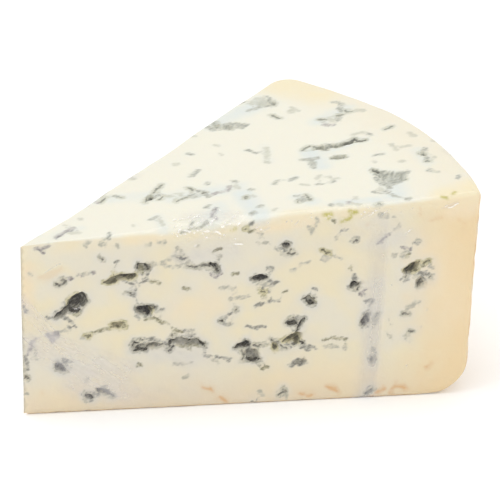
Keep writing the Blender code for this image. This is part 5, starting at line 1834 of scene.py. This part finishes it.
# %% Creases, crumples and milky bands
CREASES = {
    on_front: (
        (.5, 1, 91.8, 44.4, 93.6, 45.2, 95.6, 45.9), (.4, .8, 73.4, 42.7, 75.6, 43.9, 78.2, 45.2),
        (.4, .5, 79.6, 14.6, 83.6, 20, 88.4, 25.2), (.4, .5, 89.6, 24.2, 88.2, 19.4, 86.9, 14.8),
        (.4, .4, 85.4, 3, 84, 9, 81.6, 14), (.4, .6, 83.4, 38.4, 85, 40),
        (.5, .6, 52, 41, 54.6, 42.3), (.35, .6, .8, 28, 3.6, 24.6, 6.4, 21, 8.8, 18.4),
        (.3, .5, .6, 24.6, 3.4, 20.6, 7.4, 16.8, 12, 14.6),
        (.3, .3, 4, 20.4, 8, 16.6, 14, 13.6, 21, 11.6), (.3, .3, 12, 14.2, 17.6, 10.4, 22, 6.4),
        (.3, .25, 23.6, 4.6, 27.6, 5, 33.6, 7.2), (.4, .3, 33, 19.8, 41, 22.6, 50, 24.4),
        (.4, .3, 57, 21, 66, 27, 74, 31.4), (.35, .5, 11, 25.2, 12.2, 24.8, 13.3, 25.9),
    ),
    on_top: ((.4, .3, 40, 12, 52, 24, 60, 36), (.4, .3, 70, 10, 80, 24, 86, 40)),
    on_back: (
        (.5, .8, 20, 38, 34, 22, 44, 2), (.5, .7, 60, 42, 66, 24, 67, 4),
        (.4, .5, 8, 30, 20, 20, 30, 4), (.4, .6, 72, 43, 84, 28, 93, 12),
        (.4, .4, 28, 40, 50, 34, 72, 37),
    ),
    on_rind: (
        (.5, .9, 14, 45, 16, 28, 15, 10), (.5, .7, 17, 46, 21, 30, 24, 12),
        (.4, .6, 30, 46, 36, 32, 43, 16), (.4, .5, 5, 40, 9, 26, 10, 12),
        (.4, .5, 40, 44, 34, 28, 31, 12),
    ),
}
MILKY = {
    on_front: (
        (3.4, .6, 0, 27, 3, 22.5, 6.5, 18, 11.5, 14.6, 17, 12), (8, .7, 3, 18, 12, 12, 21, 9),
        (6, .6, 12, 7.5, 23, 4.5), (5, .35, 22, 3, 36, 3), (5, .4, 30, 13, 38, 11.5),
        (4, .35, 70, 41, 84, 39), (3.4, .4, 34, 36, 46, 37.5),
    ),
    on_top: ((4.5, .5, 38, 5, 46, 3),),
    on_back: ((4, .6, 40, 44, 43, 22, 44, .5), (5, .35, 10, 18, 30, 8)),
    on_rind: ((5, .6, 14, 46, 17, 28, 18, 10), (4, .4, 30, 46, 38, 24)),
}
FOLD = ((80.2, 43.0), (79.8, 34.0), (79.3, 25.0), (78.7, 17.0), (78.1, 9.0), (77.2, 0.0))
CRUMPLES = {
    on_front: (
        (5, 1, 31.5, 41.5, 40, 41.5, 47, 40.5), (2.5, .6, 49, 42, 56, 42.5),
        (2.5, .45, 64, 43.5, 75, 44.5),
    ),
}
# Glints are painted highlights: short white strokes on the film where creases and crumples catch the
# light.
GLINTS = {
    on_front: (
        (.28, 1, 36.5, 42.9, 37.2, 43.4), (.26, .8, 38.8, 42.8, 40, 41.6),
        (.36, 1, 39.9, 41.5, 41.2, 42.2), (.28, .9, 41, 41, 43.4, 41.8),
        (.26, .8, 42.6, 42.4, 43.6, 42.6), (.26, .8, 39.8, 40.1, 40.8, 40.5),
        (.28, .9, 37.4, 38.3, 38.6, 38.9), (.34, 1, 46, 38.4, 48.6, 38.5),
        (.26, .8, 48.1, 41.2, 49.3, 41.6), (.32, .9, 51.3, 41.8, 52.6, 41.5),
        (.26, .8, 42.3, 47, 43.5, 46.1), (.25, .8, 66, 43.4, 66.5, 43.4),
        (.25, .8, 71.1, 44.1, 71.6, 44.1), (.3, .8, 75, 43, 76.4, 43.9, 77.2, 44.8, 78.8, 45.6),
        (.32, 1, 92.4, 44.4, 94, 44.7, 94.6, 45.2, 96, 45.9), (.26, .7, 84, 39.2, 85.5, 40.2),
        (.24, .6, 80.2, 26.3, 81.5, 27.6), (.22, .38, 79.6, 14.6, 83.6, 20, 88.4, 25.2),
        (.22, .38, 89.6, 24.2, 88.2, 19.4, 86.9, 14.8), (.22, .36, 85.4, 3, 84, 9, 81.6, 14),
        (.22, .34, 92.2, 24, 92.8, 16, 93.4, 9), (.2, .36, 1, 26.6, 4.6, 21.4, 8.6, 16.6, 14, 13),
        (.2, .34, 9, 20, 14.6, 15.2, 20, 11.4),
        (.24, .6, 10.8, 25.5, 11.6, 24.9, 12.6, 25.2, 13.2, 26.3),
        (.26, .9, 23.7, 14.6, 23.9, 14.6), (.24, .6, 4, 33, 8, 35.6, 10.5, 36.1),
    ),
    on_top: ((.3, .8, 43.8, 6.2, 44.3, 6.2), (.3, .8, 42.8, 8.1, 43.3, 8.1)),
}
print("creases drawn by hand:", len(list(drawn_rows(CREASES))))

# %% Painted glints and base pleats by a rule
# painted highlights: short white glints drawn at random along the pressed edge
PRESSED_GLINTS = (  # how many, then from and to along, up, and the least and most strength
    (40, (32, 47), (39.5, 45), (0.6, 1)),
    (12, (50, 63), (41, 44.5), (0.4, 0.6)),
    (14, (73, 92), (42.5, 46.5), (0.4, 0.7)),
)
PRESSED_TILT, PRESSED_LENGTH, PRESSED_HALF = (24, 48), (0.8, 3.6), (0.18, 0.3)
PRESSED_PLEAT_SEED = 12
BASE_PLEATS = 26
BASE_PLEAT_CENTRE = (58.0, 25.0)
BASE_PLEAT_FROM, BASE_PLEAT_TO = (3, 7), (14, 34)
BASE_PLEAT_HALF, BASE_PLEAT_HEIGHT = 0.8, (0.4, 0.8)
BASE_PLEAT_SEED = 3


def pressed_glints():
    """Short fine painted glints side by side: white highlights where the film bunches along the pressed
    edge.
    """
    rng = random.Random(PRESSED_PLEAT_SEED)
    made = []
    for count, across, heights, strengths in PRESSED_GLINTS:
        for _ in range(count):
            along, up = rng.uniform(*across), rng.uniform(*heights)
            turn, length = math.radians(rng.uniform(*PRESSED_TILT)), rng.uniform(*PRESSED_LENGTH)
            end = (along + length * math.cos(turn), up + length * math.sin(turn))
            half, strength = rng.uniform(*PRESSED_HALF), rng.uniform(*strengths)
            made.append((half, strength, along, up, *end))
    return {on_front: made}


def base_pleats():
    """Creases under the wedge, where the film's edges are gathered to one place."""
    rng = random.Random(BASE_PLEAT_SEED)
    made = []
    middle_x, middle_y = BASE_PLEAT_CENTRE
    for i in range(BASE_PLEATS):
        turn = 2 * math.pi * (i + rng.uniform(-0.3, 0.3)) / BASE_PLEATS
        ends = []
        for reach in (rng.uniform(*BASE_PLEAT_FROM), rng.uniform(*BASE_PLEAT_TO)):
            ends += [middle_x + reach * math.cos(turn), middle_y + reach * math.sin(turn)]
        if inset(*ends[:2]) > 2 and inset(*ends[2:]) > 2:
            made.append((BASE_PLEAT_HALF, rng.uniform(*BASE_PLEAT_HEIGHT), *ends))
    return {on_base: made}


gathered, bunched_glints = base_pleats(), pressed_glints()
print("pleats:", len(gathered[on_base]), "under the base,", len(bunched_glints[on_front]), "on the edge")

# %% Values on the film
FOLD_EDGE, FOLD_FULL, FOLD_WIDTH = 1.5, 1.9, 6.0
FOLD_TOP, FOLD_FADE = 46.0, 9.0
CREASE_SHARPNESS = 1.3
film_marks = [
    constant(path_near(plane, drawn)[0], half)
    for table in (CREASES, gathered, GLINTS, bunched_glints, CRUMPLES)
    for plane, half, _, drawn in drawn_rows(table)
]
film_marks.append(constant(path_near(on_front, FOLD)[0], FOLD_EDGE))
film_points, film_faces, film_normals = skin(film_marks, False)
film = {name: np.zeros(len(film_points)) for name in ("crease", "glint", "milky", "crumple")}


def paint_film(name, table, ridged):
    """Adds strokes to one of the film's values, ridged like a crease or soft like a band."""
    for plane, half, strength, drawn in drawn_rows(table):
        path = snapped(path_near(plane, drawn)[0])
        numbers = near(film_points, path, half + 0.5)
        distance, place, _ = distance_to_path(film_points[numbers], path)
        rise = np.clip(1 - distance / half, 0, 1)
        ends = smooth(4 * place) * smooth(4 * (1 - place))
        shape = strength * (rise**CREASE_SHARPNESS * ends if ridged else smooth(1.2 * rise))
        keep_higher(film[name], numbers, shape)


def doubled_film():
    """1 along the fold, fading quickly on its right and slowly on its left."""
    path = snapped(path_near(on_front, FOLD)[0])
    found = np.zeros(len(film_points))
    numbers = near(film_points, path, FOLD_WIDTH)
    distance, _, offset = distance_to_path(film_points[numbers], path)
    leftwards = np.where(offset[:, 0] < 0, distance, -distance)
    rise = smooth((leftwards + FOLD_EDGE / 2) / FOLD_EDGE)
    fall = smooth((FOLD_WIDTH - leftwards) / (FOLD_WIDTH - FOLD_FULL))
    below_top = smooth((FOLD_TOP - film_points[numbers, 2]) / FOLD_FADE)
    found[numbers] = np.minimum(rise, fall) * below_top
    return found


film["fold"] = doubled_film()
for crease_table in (CREASES, gathered):
    paint_film("crease", crease_table, True)
for glint_table in (GLINTS, bunched_glints):
    paint_film("glint", glint_table, True)
paint_film("milky", MILKY, False)
paint_film("crumple", CRUMPLES, False)
print("film:", triangle_count(film_faces), "triangles")

# %% [markdown]
# ### Film material
#
# Film is two things at once: a thin mirror that reflects a few percent of the light, and a veil
# where it is milky. One Principled shader can be both, because its Alpha says how much of it is
# there at all. Clear film is a smooth white metal at a low alpha, which gives the reflections and
# nothing else. Milky film is a rougher white plastic at a higher alpha. Along a drawn glint the
# film is painted near-white and mostly opaque: a painted highlight, not a reflection.

# %% Film material
FILM_WHITE = shown(233, 230, 231)
FOLD_GREY = shown(215, 213, 212)
# the colour of the painted highlights on the film
GLINT_WHITE = shown(255, 253, 246)
FILM_CLEAR_ALPHA = 0.045
PLEAT_WAY = (0.8, 0.2, -0.56)  # the layers are pulled down towards the underside


def film_finish():
    """Clear stretched film with milky bands and painted white glints."""
    g = Finish("clear_film")
    fine = g.grain(g.place, 1.4, 3, 0.6)
    broad = g.grain(g.place, 5, 3, 0.6)
    streaks = g.grain(g.stretched(PLEAT_WAY, 6), 1.5, 1, 0.4)
    milky = g.stored("milky") * (0.35 + 0.8 * broad + 0.35 * g.step(streaks, 0.3, 0.75))
    doubled = 0.62 * g.stored("fold") * (0.4 + 0.9 * broad)
    crease = g.step(g.stored("crease"), 0.12, 0.5)
    # painted highlight: where a glint is drawn, the film turns white and mostly opaque
    glint = g.step(g.stored("glint") + 0.5 * (fine - 0.5), 0.2, 0.6)
    veil = g.math("MAXIMUM", g.step(milky, 0.0, 1.2), doubled)
    alpha = FILM_CLEAR_ALPHA + 0.5 * veil + 0.16 * crease + 0.6 * glint
    return g.surface(
        Base_Color=g.mix(glint, g.mix(doubled, FILM_WHITE, FOLD_GREY), GLINT_WHITE),
        Metallic=1 - g.step(veil + crease + glint, 0.0, 0.5),
        Roughness=0.07 + 0.5 * veil + 0.1 * glint,
        Alpha=g.math("MINIMUM", alpha, 0.97),
        Normal=g.bump(fine, 0.05, 0.6),
        IOR=1.5,
    )


film_material = film_finish()
print("made", film_material.name)

# %% [markdown]
# ### Lift the film off the skin
#
# The tree moves each point of the skin along its normal: by a gap that is the same everywhere,
# by the height of the drawn creases, and by folded noise where the film is crumpled, which gives
# flat facets with sharp ridges between them. The heights are named inputs in metres.

# %% Film piece
FILM_INPUTS = {
    "Geometry": ("NodeSocketGeometry", None),
    "Gap": ("NodeSocketFloat", 0.0),
    "Crease Height": ("NodeSocketFloat", 0.2 * MM),
    "Crumple Height": ("NodeSocketFloat", 0.5 * MM),
    "Crumple Length": ("NodeSocketFloat", 2.2 * MM),
    "Ripple Height": ("NodeSocketFloat", 0.04 * MM),
    "Ripple Length": ("NodeSocketFloat", 3.0 * MM),
}


def film_tree():
    """The skin lifted to the film's place."""
    graph, entry = geometry_tree("lift_film", FILM_INPUTS)
    place = graph.node("GeometryNodeInputPosition")

    def at_length(length):
        return graph.scaled(place, graph.math("DIVIDE", 1.0, length))

    turned = graph.node(
        "ShaderNodeVectorRotate",
        {"rotation_type": "Y_AXIS"},
        {"Vector": at_length(entry["Crumple Length"]), "Angle": math.radians(35)},
    )
    stretched = graph.node(
        "ShaderNodeVectorMath", {"operation": "MULTIPLY"}, {0: turned, 1: (0.4, 1.0, 1.3)}
    )
    folds = graph.node(
        "ShaderNodeTexVoronoi",
        {"feature": "DISTANCE_TO_EDGE"},
        {"Vector": stretched, "Scale": 1.0},
        "Distance",
    )
    ridge = 1 - graph.step(folds, 0.0, 0.45)
    ripple = graph.node("ShaderNodeTexNoise", None, {"Vector": at_length(entry["Ripple Length"])})
    height = (
        entry["Gap"]
        + entry["Crease Height"] * named_value(graph, "crease")
        + entry["Crumple Height"] * ridge * named_value(graph, "crumple")
        - entry["Ripple Height"] * ripple
    )
    normal = graph.node("GeometryNodeInputNormal")
    offset = graph.scaled(normal, height)
    lifted = graph.node(
        "GeometryNodeSetPosition", None, {"Geometry": entry["Geometry"], "Offset": offset}
    )
    return finish_tree(graph, lifted, film_material)


FILM_INSET = 0.05  # millimetres inside the solid's own surface
wrap = meshed("clear_film", film_points - film_normals * FILM_INSET, film_faces, film)
apply_tree(wrap, film_tree(), FILM_INPUTS)
wrap.data.shade_smooth()
print("film:", sum(len(p.vertices) - 2 for p in wrap.data.polygons), "triangles")

# %% [markdown]
# ## Studio
#
# The photograph is a cut-out on white, so the floor and the world are white and bright enough to
# meet without a line. A wide soft light from above keeps the top brighter than the front cut, and
# two small lights give the film its glints, beside the white highlights painted on the film.

# %% Floor, world and lights
FLOOR_SIZE = 6.0
WORLD_STRENGTH = 0.97
FLOOR_GLOW = 0.05  # keeps the shadow round the wedge faint, as on a lit table
LIGHTS = (  # name, place in metres, size and watts
    ("top_light", (-0.3, 0.1, 1.3), 0.9, 2.6),
    ("left_glint_light", (-0.7, -0.5, 0.9), 0.07, 0.6),
    ("right_glint_light", (0.85, -0.45, 0.85), 0.07, 0.6),
)


def floor_finish():
    """Plain white card."""
    g = Finish("studio_floor")
    speck = g.grain(g.place, 40, 2)
    colour = g.mix(speck, shown(253, 253, 253), shown(255, 255, 255))
    glow = {"Emission_Color": shown(255, 255, 255), "Emission_Strength": FLOOR_GLOW}
    return g.surface(Base_Color=colour, Roughness=0.9, Specular_IOR_Level=0.1, **glow)


floor_mesh = bpy.data.meshes.new("studio_floor")
half = FLOOR_SIZE / 2
floor_corners = [(-half, -half, 0), (half, -half, 0), (half, half, 0), (-half, half, 0)]
floor_mesh.from_pydata(floor_corners, [], [(0, 1, 2, 3)])
floor = bpy.data.objects.new("studio_floor", floor_mesh)
bpy.context.scene.collection.objects.link(floor)
floor_mesh.materials.append(floor_finish())

world = bpy.data.worlds.new("studio")
world.use_nodes = True
sky = world.node_tree.nodes["Background"]
sky.inputs["Color"].default_value = (1.0, 1.0, 1.0, 1.0)
sky.inputs["Strength"].default_value = WORLD_STRENGTH
bpy.context.scene.world = world


def area_light(name, place, aim_at, size, power):
    """A soft square light at a place in metres, turned to a point."""
    data = bpy.data.lights.new(name, "AREA")
    data.size = size
    data.energy = power
    lamp = bpy.data.objects.new(name, data)
    lamp.location = place
    lamp.rotation_euler = (Vector(place) - aim_at).to_track_quat("Z", "Y").to_euler()
    bpy.context.scene.collection.objects.link(lamp)


middle = (cad_low + cad_high) / 2
for light_name, light_place, light_size, watts in LIGHTS:
    area_light(light_name, light_place, middle, light_size, watts)

scene = bpy.context.scene
scene.view_settings.view_transform = "Standard"
scene.view_settings.look = "None"
scene.view_settings.exposure = 0.0
scene.view_settings.gamma = 1.0
print("floor, world and lights are set")

# %% [markdown]
# ## The cheese in the solid's place
#
# The cheese takes the place of the plain solid, and the tufts and the film ride with it.

# %% Ride and replace
for piece in (cheese, tufts, wrap):
    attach(piece, "root")
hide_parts("cheese_wedge")
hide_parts("cheese_wedge")
